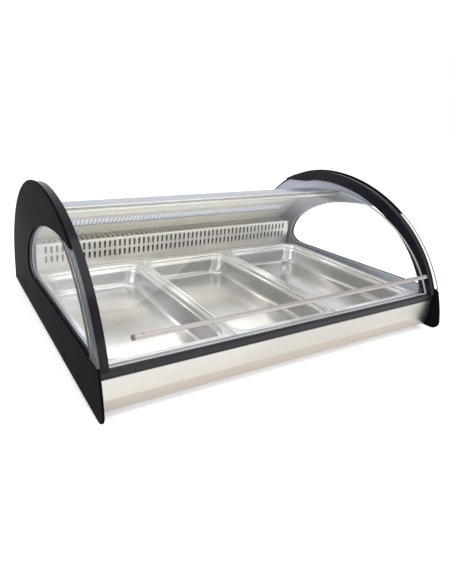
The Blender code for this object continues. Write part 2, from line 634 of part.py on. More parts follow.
def build_heat(mats):
    """A hairpin element under each pan, the air heater behind the cover, and two fans in the plenum wall."""
    z = PANEL_FOOT_Z + 0.0125
    for name, k in (("left", -1), ("centre", 0), ("right", 1)):
        cx = k * PAN_PITCH
        reach = 0.090
        y0, y1 = PAN_FRONT_Y + 0.120, PAN_FRONT_Y + 0.430
        radius = 0.030
        path = [(cx - reach, y1 + 0.05, z)]
        path += bend((cx - reach + radius, y0), radius, 180, 360, z)
        path += bend((cx, y1), radius, 180, 0, z)
        path += bend((cx + reach - radius, y0), radius, 180, 360, z)
        path += [(cx + reach, y1 + 0.05, z)]
        tube_loop(f"well_heater_{name}", mats["element"], path, 0.0042)

    y, low, high, reach = COVER_Y + 0.020, 0.128, 0.158, 0.430
    radius = (high - low) / 2
    path = [(-reach, y, low)]
    path += [(reach + radius * math.cos(t), y, low + radius + radius * math.sin(t))
             for t in (math.radians(-90 + 180 * k / 6) for k in range(7))]
    path += [(-reach, y, high)]
    tube_loop("air_heater", mats["element"], path, 0.0042)

    wall_y = COVER_Y + COVER_DEPTH + 0.010
    fan_z, fan_r, fan_x = 0.098, 0.056, 0.250
    wall = box("plenum_wall", mats["steel"], (-INNER_HALF + 0.01, wall_y, PANEL_FOOT_Z + 0.003),
               (INNER_HALF - 0.01, wall_y + 0.0015, COVER_TOP_Z - 0.010))
    for side, sign in (("left", -1), ("right", 1)):
        hole = rod(f"plenum_hole_{side}", mats["steel"], (sign * fan_x, wall_y - 0.01, fan_z),
                   (sign * fan_x, wall_y + 0.01, fan_z), fan_r, 24)
        cut(wall, hole)
        frame_y = wall_y + 0.0015 + GAP
        frame = box(f"fan_frame_{side}", mats["plastic"], (sign * fan_x - 0.060, frame_y, fan_z - 0.060),
                    (sign * fan_x + 0.060, frame_y + 0.038, fan_z + 0.060))
        bore = rod(f"fan_bore_{side}", mats["plastic"], (sign * fan_x, frame_y - 0.01, fan_z),
                   (sign * fan_x, frame_y + 0.0345, fan_z), fan_r + 0.001, 28)
        cut(frame, bore)
        windows = join_boxes(f"fan_windows_{side}", mats["plastic"], [
            ((sign * fan_x + sx * 0.0225 - 0.0130, frame_y + 0.030, fan_z + sz * 0.0225 - 0.0130),
             (sign * fan_x + sx * 0.0225 + 0.0130, frame_y + 0.050, fan_z + sz * 0.0225 + 0.0130))
            for sx in (-1, 1) for sz in (-1, 1)])
        cut(frame, windows)
        fan_rotor(f"fan_rotor_{side}", mats["plastic"], (sign * fan_x, frame_y + 0.004, fan_z), 0.026, fan_r - 0.003)


def fan_rotor(name, mat, front, depth, radius):
    """Hub with seven pitched blades, all one piece; its axis is along Y."""
    bm = bmesh.new()
    sides, blades, hub = 28, 7, 0.020
    rings = []
    for y in (0.0, depth):
        rings.append([bm.verts.new((hub * math.cos(2 * math.pi * k / sides), y,
                                    hub * math.sin(2 * math.pi * k / sides))) for k in range(sides)])
    bm.faces.new(rings[0])
    bm.faces.new(rings[1])
    per_blade = sides // blades
    for k in range(sides):
        n = (k + 1) % sides
        if k % per_blade:
            bm.faces.new((rings[0][k], rings[0][n], rings[1][n], rings[1][k]))
            continue
        # the blade grows out of this hub facet and twists as it runs outward
        base = [rings[0][k], rings[0][n], rings[1][n], rings[1][k]]
        middle = 2 * math.pi * (k + 0.5) / sides
        lean, thick, reach = 0.16, 0.030, radius
        tip = []
        for y, swing in ((0.004, -lean - thick), (0.004, -lean + thick), (depth - 0.004, lean + thick),
                         (depth - 0.004, lean - thick)):
            a = middle + swing
            tip.append(bm.verts.new((reach * math.cos(a), y, reach * math.sin(a))))
        for i in range(4):
            j = (i + 1) % 4
            bm.faces.new((base[i], base[j], tip[j], tip[i]))
        bm.faces.new(tip)
    made = finish(bm, name, mat)
    made.location = front
    return made


# ---------------------------------------------------------------- front glass and its handle
def build_front_glass(mats):
    top_y = HINGE_Y - 0.0060                    # the glass ends here, inside the top rail
    rings = []
    for inset, flip in ((0.0, False), (GLASS_THICK, True)):
        a, b = GLASS_A - inset, GLASS_B - inset
        first = 180 - math.degrees(math.asin(GLASS_FOOT_Z / b))
        last = math.degrees(math.acos((top_y - GLASS_Y) / a))
        side = arc((GLASS_Y, 0.0), a, b, first, last, 36)
        rings.append(list(reversed(side)) if flip else side)
    glass = prism("curved_glass", mats["glass"], rings[0] + rings[1], -GLASS_HALF, GLASS_HALF, 30)
    set_origin(glass, (0, HINGE_Y, HINGE_Z))

    glass_top = GLASS_B * math.sqrt(1 - ((top_y - GLASS_Y) / GLASS_A) ** 2)
    y0, lip = top_y - 0.0080, 0.0018
    under, over = glass_top - GLASS_THICK - 0.0006, glass_top + GAP
    barrel = arc((HINGE_Y, HINGE_Z), HINGE_BARREL, HINGE_BARREL, 80, -90, 12)
    # the rail's rear shoulder slopes down to the barrel, so that the roof's edge clears it at full opening
    outline = [(y0, over), (y0, over + lip), (top_y + 0.0010, over + lip), (HINGE_Y - 0.0022, HINGE_Z + 0.0068)]
    outline += barrel
    outline += [(y0 + 0.0015, HINGE_Z - HINGE_BARREL), (y0, HINGE_Z - HINGE_BARREL + 0.0015), (y0, under),
                (top_y + GAP, under), (top_y + GAP, over)]
    rail = prism("glass_top_rail", mats["satin"], outline, -GLASS_HALF, GLASS_HALF, 40)
    holes = []
    for side, sign in (("left", -1), ("right", 1)):
        holes.append(rod(f"pivot_hole_{side}", mats["satin"], (sign * (GLASS_HALF - 0.012), HINGE_Y, HINGE_Z),
                         (sign * (GLASS_HALF + 0.01), HINGE_Y, HINGE_Z), 0.0024, 16))
        rod(f"hinge_pin_{side}", mats["chrome"], (sign * (GLASS_HALF - 0.010), HINGE_Y, HINGE_Z),
            (sign * (LINER_IN_X - GAP), HINGE_Y, HINGE_Z), 0.0020, 16)
    for hole in holes:
        cut(rail, hole)
    set_origin(rail, (0, HINGE_Y, HINGE_Z))

    # handle: a round bar standing off the glass on two posts, square to the glass
    foot_y = GLASS_Y - GLASS_A * math.sqrt(1 - (HANDLE_FOOT_Z / GLASS_B) ** 2)
    on_glass = Vector((0, foot_y, HANDLE_FOOT_Z))
    ahead = Vector((0, (foot_y - GLASS_Y) / GLASS_A ** 2, HANDLE_FOOT_Z / GLASS_B ** 2)).normalized()
    grip = on_glass + ahead * HANDLE_STAND
    bar = rod("handle_rod", mats["satin"], grip - Vector((HANDLE_HALF, 0, 0)), grip + Vector((HANDLE_HALF, 0, 0)),
              HANDLE_RADIUS, 20, 0.0008)
    set_origin(bar, (0, HINGE_Y, HINGE_Z))
    length = HANDLE_STAND - HANDLE_RADIUS - 2 * GAP
    for side, sign in (("left", -1), ("right", 1)):
        post = turned(f"handle_post_{side}", mats["satin"],
                      [(0, 0), (0.0080, 0), (0.0080, 0.0030), (0.0045, 0.0040), (0.0045, length), (0, length)],
                      on_glass + ahead * GAP + Vector((sign * HANDLE_POST_X, 0, 0)), ahead, 20)
        set_origin(post, (0, HINGE_Y, HINGE_Z))


# ---------------------------------------------------------------- feet
def build_feet(mats):
    for fore, y in (("front", -0.300), ("rear", 0.330)):
        for side, sign in (("left", -1), ("right", 1)):
            turned(f"foot_{fore}_{side}", mats["rubber"],
                   [(0, 0), (0.0180, 0), (0.0200, 0.0030), (0.0170, PANEL_FOOT_Z - GAP), (0, PANEL_FOOT_Z - GAP)],
                   (sign * 0.440, y, 0), (0, 0, 1), 24)


def main():
    clear_scene()
    mats = {
        "black": material("black_plastic", (0.006, 0.006, 0.008), 0.35),
        "liner": material("grey_liner", (0.42, 0.44, 0.50), 0.35, 0.6),
        "glass": material("clear_glass", (0.80, 0.92, 0.90), 0.02, 0.0, 0.25),
        "steel": material("brushed_steel", (0.70, 0.67, 0.63), 0.35, 1.0),
        "mirror_steel": material("polished_steel", (0.78, 0.76, 0.72), 0.15, 1.0),
        "pan": material("pan_steel", (0.76, 0.75, 0.73), 0.22, 1.0),
        "satin": material("satin_steel", (0.66, 0.58, 0.56), 0.35, 1.0),
        "chrome": material("bright_steel", (0.80, 0.80, 0.80), 0.10, 1.0),
        "seal": material("grey_seal", (0.22, 0.23, 0.25), 0.6),
        "plastic": material("black_fittings", (0.02, 0.02, 0.022), 0.45),
        "rocker": material("rocker_black", (0.03, 0.03, 0.033), 0.3),
        "amber": material("amber_lens", (0.90, 0.42, 0.05), 0.2),
        "lens": material("lamp_lens", (0.86, 0.90, 0.98), 0.3),
        "element": material("heater_sheath", (0.30, 0.28, 0.26), 0.5, 0.8),
        "rubber": material("foot_rubber", (0.02, 0.02, 0.02), 0.8),
    }
    build_ends(mats)
    build_base(mats)
    build_deck(mats)
    build_pans(mats)
    build_heater_cover(mats)
    build_rear(mats)
    build_controls(mats)
    build_heat(mats)
    build_front_glass(mats)
    build_feet(mats)


main()
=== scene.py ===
"""Looks of the hot food display case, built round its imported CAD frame.

Metres, +Z up. X runs along the case, -Y is the customer's side, +Y is the service side.
"""
import math

import bmesh
import bpy
from mathutils import Matrix, Vector


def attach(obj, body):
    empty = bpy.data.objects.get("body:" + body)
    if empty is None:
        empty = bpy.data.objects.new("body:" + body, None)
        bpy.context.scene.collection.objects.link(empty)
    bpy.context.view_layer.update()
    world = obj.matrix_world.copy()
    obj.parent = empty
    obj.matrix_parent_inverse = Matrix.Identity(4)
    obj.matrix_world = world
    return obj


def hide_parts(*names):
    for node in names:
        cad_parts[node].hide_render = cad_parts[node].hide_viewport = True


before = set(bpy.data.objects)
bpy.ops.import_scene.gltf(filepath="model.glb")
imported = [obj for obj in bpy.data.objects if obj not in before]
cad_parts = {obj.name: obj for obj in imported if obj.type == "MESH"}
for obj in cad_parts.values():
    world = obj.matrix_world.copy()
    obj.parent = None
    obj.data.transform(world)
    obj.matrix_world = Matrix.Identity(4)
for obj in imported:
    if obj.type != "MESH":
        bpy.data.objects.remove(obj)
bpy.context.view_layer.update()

# ---------------------------------------------------------------- shapes shared with the CAD
PANS = (("left", -1), ("centre", 0), ("right", 1))
SIDES = (("left", -1), ("right", 1))
GAP = 0.0004                    # air kept between touching pieces
SHEET, FORMED_SHEET = 0.0012, 0.0015
CHEEK_OUT_X, CHEEK_THICK = 0.514, 0.006
PLATE_IN_X = CHEEK_OUT_X - CHEEK_THICK
PANE_THICK = 0.005
LINER_IN_X = 0.495
ARCH_IN_X = 0.4880
REAR_Y, TOE_Y = 0.419, -0.419
PLATE_FOOT_Z, TOE_Z = 0.012, 0.034
CROWN_Y = 0.049
FRONT_CURVE_Z, FRONT_CURVE_B = -0.033, 0.432
REAR_CURVE_Z = 0.070
REAR_CURVE_A = REAR_Y - CROWN_Y
REAR_CURVE_B = FRONT_CURVE_Z + FRONT_CURVE_B - REAR_CURVE_Z
FRONT_CENTRE = (CROWN_Y, FRONT_CURVE_Z)
FRONT_CURVE_A = (CROWN_Y - TOE_Y) / math.sqrt(1 - ((TOE_Z - FRONT_CURVE_Z) / FRONT_CURVE_B) ** 2)
ARCH_CURVE_Z, ARCH_A = -0.010, 0.4606
ARCH_CENTRE = (CROWN_Y, ARCH_CURVE_Z)
ARCH_INSET = 0.004              # from the plate's curve in to the arch's
ARCH_B = FRONT_CURVE_Z + FRONT_CURVE_B - ARCH_INSET - ARCH_CURVE_Z
ARCH_DEPTH = 0.033
ARCH_END_OUT_Y, ARCH_END_IN_Y = 0.255, 0.150
WINDOW_Y, WINDOW_Z, WINDOW_A, WINDOW_B = -0.150, 0.145, 0.345, 0.172
SILL_REAR_Z, SILL_FRONT_Z, SILL_REAR_Y = 0.113, 0.125, 0.134
SHOULDER_Z = SILL_FRONT_Z + 0.001
GLASS_Y, GLASS_A, GLASS_B, GLASS_THICK = 0.009, 0.408, 0.341, 0.005
GLASS_FOOT_Z = 0.1126
GLASS_HALF = ARCH_IN_X - 0.0006
HINGE_Y = 0.006
HANDLE_HALF, HANDLE_RADIUS, HANDLE_POST_X = 0.444, 0.0055, 0.421
HANDLE_FOOT_Z, HANDLE_STAND, HANDLE_CAP = 0.155, 0.0385, 0.0060
BODY_HALF = PLATE_IN_X - GAP
INNER_HALF = LINER_IN_X - GAP
FRONT_Y, PANEL_FOOT_Z, PANEL_TOP_Z, CREASE_Z = -0.3835, 0.016, 0.0930, 0.045
RAIL_TOP_Z, DECK_Z = 0.1120, 0.1030
PAN_FRONT_Y = -0.351
PAN_LENGTH, PAN_WIDTH, PAN_PITCH, PAN_RIM_Z = 0.530, 0.325, 0.327, 0.1042
COVER_Y, COVER_TOP_Z, COVER_DEPTH = 0.202, 0.188, 0.060
SLOT_PITCH, SLOT_WIDTH, SLOT_COUNT = 0.0170, 0.0072, 55
FACE_SLOTS = ((0.049, 0.011), (0.0195, 0.0115))     # (below the cover's top, half length)
TOP_SLOT = (0.030, 0.022)                           # (behind the cover's face, half length)
LENS_PITCH, LENS_HALF, LENS_REACH = 0.0132, 0.434, 0.0154
ROOF_FRONT_Y, ROOF_REAR_Y, ROOF_FRONT_Z, ROOF_REAR_Z = 0.0120, 0.1330, 0.3390, 0.3270
REAR_PANEL_Y, REAR_PANEL_TOP_Z = 0.393, 0.172
REAR_FACE = REAR_PANEL_Y - GAP
CONTROL_Z, KNOB_X, LAMP_X, SWITCH_X, LIGHT_SWITCH_X = 0.118, 0.400, 0.345, 0.295, 0.245
GLAND_X, GLAND_Z = -0.430, 0.060


# ---------------------------------------------------------------- meshes
def piece(bm, name, mats, body, replaces=(), smooth=35):
    """Makes a bmesh into a named piece that rides on a CAD body and may stand for CAD nodes."""
    bmesh.ops.remove_doubles(bm, verts=bm.verts, dist=1e-6)
    bmesh.ops.recalc_face_normals(bm, faces=bm.faces)
    mesh = bpy.data.meshes.new(name)
    bm.to_mesh(mesh)
    bm.free()
    for mat in mats if isinstance(mats, (list, tuple)) else [mats]:
        mesh.materials.append(mat)
    mesh.shade_smooth()
    mesh.set_sharp_from_angle(angle=math.radians(smooth))
    made = bpy.data.objects.new(name, mesh)
    bpy.context.scene.collection.objects.link(made)
    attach(made, body)
    if replaces:
        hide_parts(*replaces)
    return made


def bevel(item, width, segments):
    made = item.modifiers.new("edges", "BEVEL")
    made.width = width
    made.segments = segments
    made.limit_method = "ANGLE"
    made.angle_limit = math.radians(40)
    made.harden_normals = True


def add_prism(bm, outline, x0, x1):
    """An outline of (y, z) points carried along X."""
    ends = [[bm.verts.new((x, y, z)) for y, z in outline] for x in (x0, x1)]
    for end in ends:
        bm.faces.new(end)
    for i in range(len(outline)):
        j = (i + 1) % len(outline)
        bm.faces.new((ends[0][i], ends[0][j], ends[1][j], ends[1][i]))


def mark_rim(bm, edge, reach=0.006):
    """Gives a prism's rim its second material within reach of an edge of (y, z) points, else its third."""
    for face in bm.faces:
        if len(face.verts) == 4:
            middle = face.calc_center_median()
            near = min(math.hypot(middle.y - y, middle.z - z) for y, z in edge)
            face.material_index = 1 if near < reach else 2


def add_rings(bm, rings, close=True):
    """Joins rings of equal length; the first and the last are capped when close is true."""
    made = [[bm.verts.new(p) for p in ring] for ring in rings]
    if close:
        bm.faces.new(made[0])
        bm.faces.new(made[-1])
    for low, high in zip(made, made[1:]):
        for k in range(len(low)):
            n = (k + 1) % len(low)
            bm.faces.new((low[k], low[n], high[n], high[k]))


def add_turned(bm, profile, centre, axis, segments=48, shape=None):
    """Turns a profile of (radius, along) about axis; shape(angle, radius, along) may vary the radius."""
    turn = Vector((0, 0, 1)).rotation_difference(Vector(axis)).to_matrix().to_4x4()
    place = Matrix.Translation(centre) @ turn
    angles = [2 * math.pi * k / segments for k in range(segments)]
    rings = []
    for radius, along in profile:
        ring = []
        for a in angles:
            r = shape(a, radius, along) if shape else radius
            ring.append(place @ Vector((r * math.cos(a), r * math.sin(a), along)))
        rings.append(ring)
    add_rings(bm, rings)


def add_screw(bm, centre, axis, radius=0.0032):
    """A pan head with a cross recess."""
    height = radius * 0.62
    dome = [(radius, 0.0), (radius, height * 0.35), (radius * 0.9, height * 0.68),
            (radius * 0.62, height * 0.93)]
    recess = [(radius * 0.52, height), (radius * 0.44, height * 0.30)]

    def crossed(a, r, _):
        return r * (0.45 + 0.55 * abs(math.cos(2 * a)) ** 3) if r < radius * 0.6 else r

    add_turned(bm, dome + recess, centre, axis, 32, crossed)


def rounded_rectangle(half_x, half_y, radius, steps):
    """Points of (x, y), anticlockwise about the origin."""
    points = []
    for quarter, (sx, sy) in enumerate(((1, 1), (-1, 1), (-1, -1), (1, -1))):
        for k in range(steps + 1):
            a = math.pi / 2 * (quarter + k / steps)
            points.append((sx * (half_x - radius) + radius * math.cos(a),
                           sy * (half_y - radius) + radius * math.sin(a)))
    return points


def arc(centre, a, b, start, end, steps):
    """Points of an elliptic arc in (y, z); angles in degrees, 0 towards +Y, 90 up."""
    cy, cz = centre
    angles = [math.radians(start + (end - start) * k / steps) for k in range(steps + 1)]
    return [(cy + a * math.cos(t), cz + b * math.sin(t)) for t in angles]


def sheet_outline(path, thickness, radii):
    """The section of a folded sheet: path is one face and the other lies to its left.

    radii holds the radius of each fold.
    """
    points = [Vector(p) for p in path]
    face, other = [], []

    def add(point, normal):
        face.append(tuple(point))
        other.append(tuple(point + normal * thickness))

    def left(direction):
        return Vector((-direction.y, direction.x))

    directions = [(b - a).normalized() for a, b in zip(points, points[1:])]
    add(points[0], left(directions[0]))
    for k in range(1, len(points) - 1):
        before, after = directions[k - 1], directions[k]
        turn = math.atan2(before.x * after.y - before.y * after.x, before.dot(after))
        radius = radii[k - 1]
        run = radius * math.tan(abs(turn) / 2)
        start = points[k] - before * run
        side = 1 if turn > 0 else -1
        centre = start + left(before) * radius * side
        for step in range(7):
            spin = Matrix.Rotation(turn * step / 6, 2)
            normal = spin @ left(before)
            add(centre - normal * radius * side, normal)
    add(points[-1], left(directions[-1]))
    return face + other[::-1]


def cut_with(item, bm, name):
    """Cuts a closed bmesh out of a piece and leaves no modifier behind."""
    mesh = bpy.data.meshes.new(name)
    bmesh.ops.recalc_face_normals(bm, faces=bm.faces)
    bm.to_mesh(mesh)
    bm.free()
    cutter = bpy.data.objects.new(name, mesh)
    bpy.context.scene.collection.objects.link(cutter)
    made = item.modifiers.new("cut", "BOOLEAN")
    made.operation = "DIFFERENCE"
    made.solver = "EXACT"
    made.object = cutter
    bpy.context.view_layer.update()
    evaluated = item.evaluated_get(bpy.context.evaluated_depsgraph_get())
    result = bpy.data.meshes.new_from_object(evaluated)
    item.modifiers.clear()
    old = item.data
    item.data = result
    bpy.data.meshes.remove(old)
    bpy.data.objects.remove(cutter)
    bpy.data.meshes.remove(mesh)
    item.data.shade_smooth()
    item.data.set_sharp_from_angle(angle=math.radians(35))


# ---------------------------------------------------------------- materials
def node(tree, kind, values=None, **settings):
    """A shader node; values sets its inputs or links sockets to them, settings sets its attributes."""
    made = tree.nodes.new(kind)
    for key, value in settings.items():
        setattr(made, key, value)
    for key, value in (values or {}).items():
        if isinstance(value, bpy.types.NodeSocket):
            tree.links.new(value, made.inputs[key])
        else:
            made.inputs[key].default_value = value
    return made


def noise(tree, where, scale, detail, rough=0.5):
    """Noise stretched by a scale for each axis."""
    mapped = node(tree, "ShaderNodeMapping", {"Vector": where, "Scale": scale})
    values = {"Vector": mapped.outputs[0], "Scale": 1.0, "Detail": detail, "Roughness": rough}
    return node(tree, "ShaderNodeTexNoise", values).outputs[0]


def span(tree, value, low, high, start=0.3, end=0.7):
    """Maps a value between start and end to low and high, and holds it there outside them."""
    made = node(tree, "ShaderNodeMapRange", {0: value, 1: start, 2: end, 3: low, 4: high}, clamp=True)
    return made.outputs[0]


def blend_colours(tree, factor, first, second, mode="MIX"):
    values = {0: factor, 6: first, 7: second}
    return node(tree, "ShaderNodeMix", values, data_type="RGBA", blend_type=mode).outputs[2]


def surface(name, colour, other, rough, metal=0.0, grain=(200, 200, 200), grain_depth=0.0, grain_mix=0.0,
            patch=(8, 8, 8), rough_spread=0.05, wave=None, wave_depth=0.0, coat=0.0, fades=(), specular=0.5,
            glow=None):
    """A finish with fine grain, slow patches of colour and gloss, gentle waves and fades of colour.

    grain, patch and wave are repeats per metre along each axis, and depths are metres.
    fades holds (direction, start, end, colour): from start to end along direction the colour comes in.
    """
    mat = bpy.data.materials.new(name)
    mat.use_nodes = True
    tree = mat.node_tree
    shader = tree.nodes["Principled BSDF"]
    where = node(tree, "ShaderNodeTexCoord").outputs["Object"]
    fine = noise(tree, where, grain, 4.0, 0.6)
    slow = noise(tree, where, patch, 2.0)
    tint = blend_colours(tree, span(tree, slow, 0.0, 1.0), (*colour, 1), (*other, 1))
    for direction, start, end, arrived in fades:
        along = node(tree, "ShaderNodeVectorMath", {0: where, 1: direction}, operation="DOT_PRODUCT")
        share = node(tree, "ShaderNodeMapRange", {0: along.outputs["Value"], 1: start, 2: end, 3: 0.0, 4: 1.0},
                     interpolation_type="SMOOTHSTEP", clamp=True)
        tint = blend_colours(tree, share.outputs[0], tint, (*arrived, 1))
    if grain_mix:
        shade = span(tree, fine, 1.0 - grain_mix, 1.0 + grain_mix * 0.3)
        grey = node(tree, "ShaderNodeCombineColor", {0: shade, 1: shade, 2: shade})
        tint = blend_colours(tree, 1.0, tint, grey.outputs[0], "MULTIPLY")
    tree.links.new(tint, shader.inputs["Base Color"])
    mixed = node(tree, "ShaderNodeMath", {0: fine, 1: slow}, operation="ADD").outputs[0]
    tree.links.new(span(tree, mixed, max(0.02, rough - rough_spread), rough + rough_spread, 0.7, 1.3),
                   shader.inputs["Roughness"])
    normal = None
    if wave:
        values = {"Strength": 1.0, "Distance": wave_depth, "Height": noise(tree, where, wave, 1.0)}
        normal = node(tree, "ShaderNodeBump", values).outputs[0]
    if grain_depth:
        values = {"Strength": 0.6, "Distance": grain_depth, "Height": fine}
        if normal:
            values["Normal"] = normal
        normal = node(tree, "ShaderNodeBump", values).outputs[0]
    if normal:
        tree.links.new(normal, shader.inputs["Normal"])
    shader.inputs["Metallic"].default_value = metal
    shader.inputs["Specular IOR Level"].default_value = specular
    shader.inputs["Coat Weight"].default_value = coat
    shader.inputs["Coat Roughness"].default_value = 0.05
    if glow:
        shader.inputs["Emission Color"].default_value = (*glow[0], 1)
        shader.inputs["Emission Strength"].default_value = glow[1]
    return mat


def recoloured(mat, change):
    """Passes a finish's colour through change(tree, where, colour), which returns the new socket."""
    tree = mat.node_tree
    target = tree.nodes["Principled BSDF"].inputs["Base Color"]
    where = node(tree, "ShaderNodeTexCoord").outputs["Object"]
    tree.links.new(change(tree, where, target.links[0].from_socket), target)
    return mat


def striped(mat, pitch, dark):
    """Adds soft dark stripes across X to a finish: painted shade, as between a lens's ribs."""
    def change(tree, where, colour):
        x = node(tree, "ShaderNodeSeparateXYZ", {0: where}).outputs[0]
        turns = node(tree, "ShaderNodeMath", {0: x, 1: math.tau / pitch}, operation="MULTIPLY").outputs[0]
        wave = node(tree, "ShaderNodeMath", {0: turns}, operation="SINE").outputs[0]
        return blend_colours(tree, span(tree, wave, 0.0, 1.0, -0.2, 0.5), colour, (*dark, 1))

    return recoloured(mat, change)


def clouded(mat, patch, shade):
    """Multiplies a finish by slow patches of a shade."""
    def change(tree, where, colour):
        share = span(tree, noise(tree, where, patch, 1.0), 0.0, 1.0, 0.35, 0.65)
        cloud = blend_colours(tree, share, (1, 1, 1, 1), (*shade, 1))
        return blend_colours(tree, 1.0, colour, cloud, "MULTIPLY")

    return recoloured(mat, change)


def glass(name, tint, sheen, slanted):
    """Clear glass: what is behind shows through its tint, and it mirrors from sheen up to slanted."""
    mat = bpy.data.materials.new(name)
    mat.use_nodes = True
    tree = mat.node_tree
    tree.nodes.remove(tree.nodes["Principled BSDF"])
    through = node(tree, "ShaderNodeBsdfTransparent", {"Color": (*tint, 1)})
    mirror = node(tree, "ShaderNodeBsdfGlossy", {"Color": (1, 1, 1, 1), "Roughness": 0.01})
    slant = node(tree, "ShaderNodeLayerWeight", {"Blend": 0.5}).outputs["Facing"]
    steep = node(tree, "ShaderNodeMath", {0: slant, 1: 4.0}, operation="POWER").outputs[0]
    share = span(tree, steep, sheen, slanted, 0.0, 1.0)
    both = node(tree, "ShaderNodeMixShader", {0: share, 1: through.outputs[0], 2: mirror.outputs[0]})
    tree.links.new(both.outputs[0], tree.nodes["Material Output"].inputs[0])
    return mat


def steel(name, colour, rough, **more):
    """Metal sheet brushed along X: long streaks in colour, gloss and height."""
    other = tuple(0.90 * c for c in colour)
    values = {"metal": 1.0, "grain": (2.5, 420, 420), "grain_depth": 0.00004, "grain_mix": 0.10,
              "rough_spread": 0.06}
    values.update(more)
    return surface(name, colour, other, rough, **values)


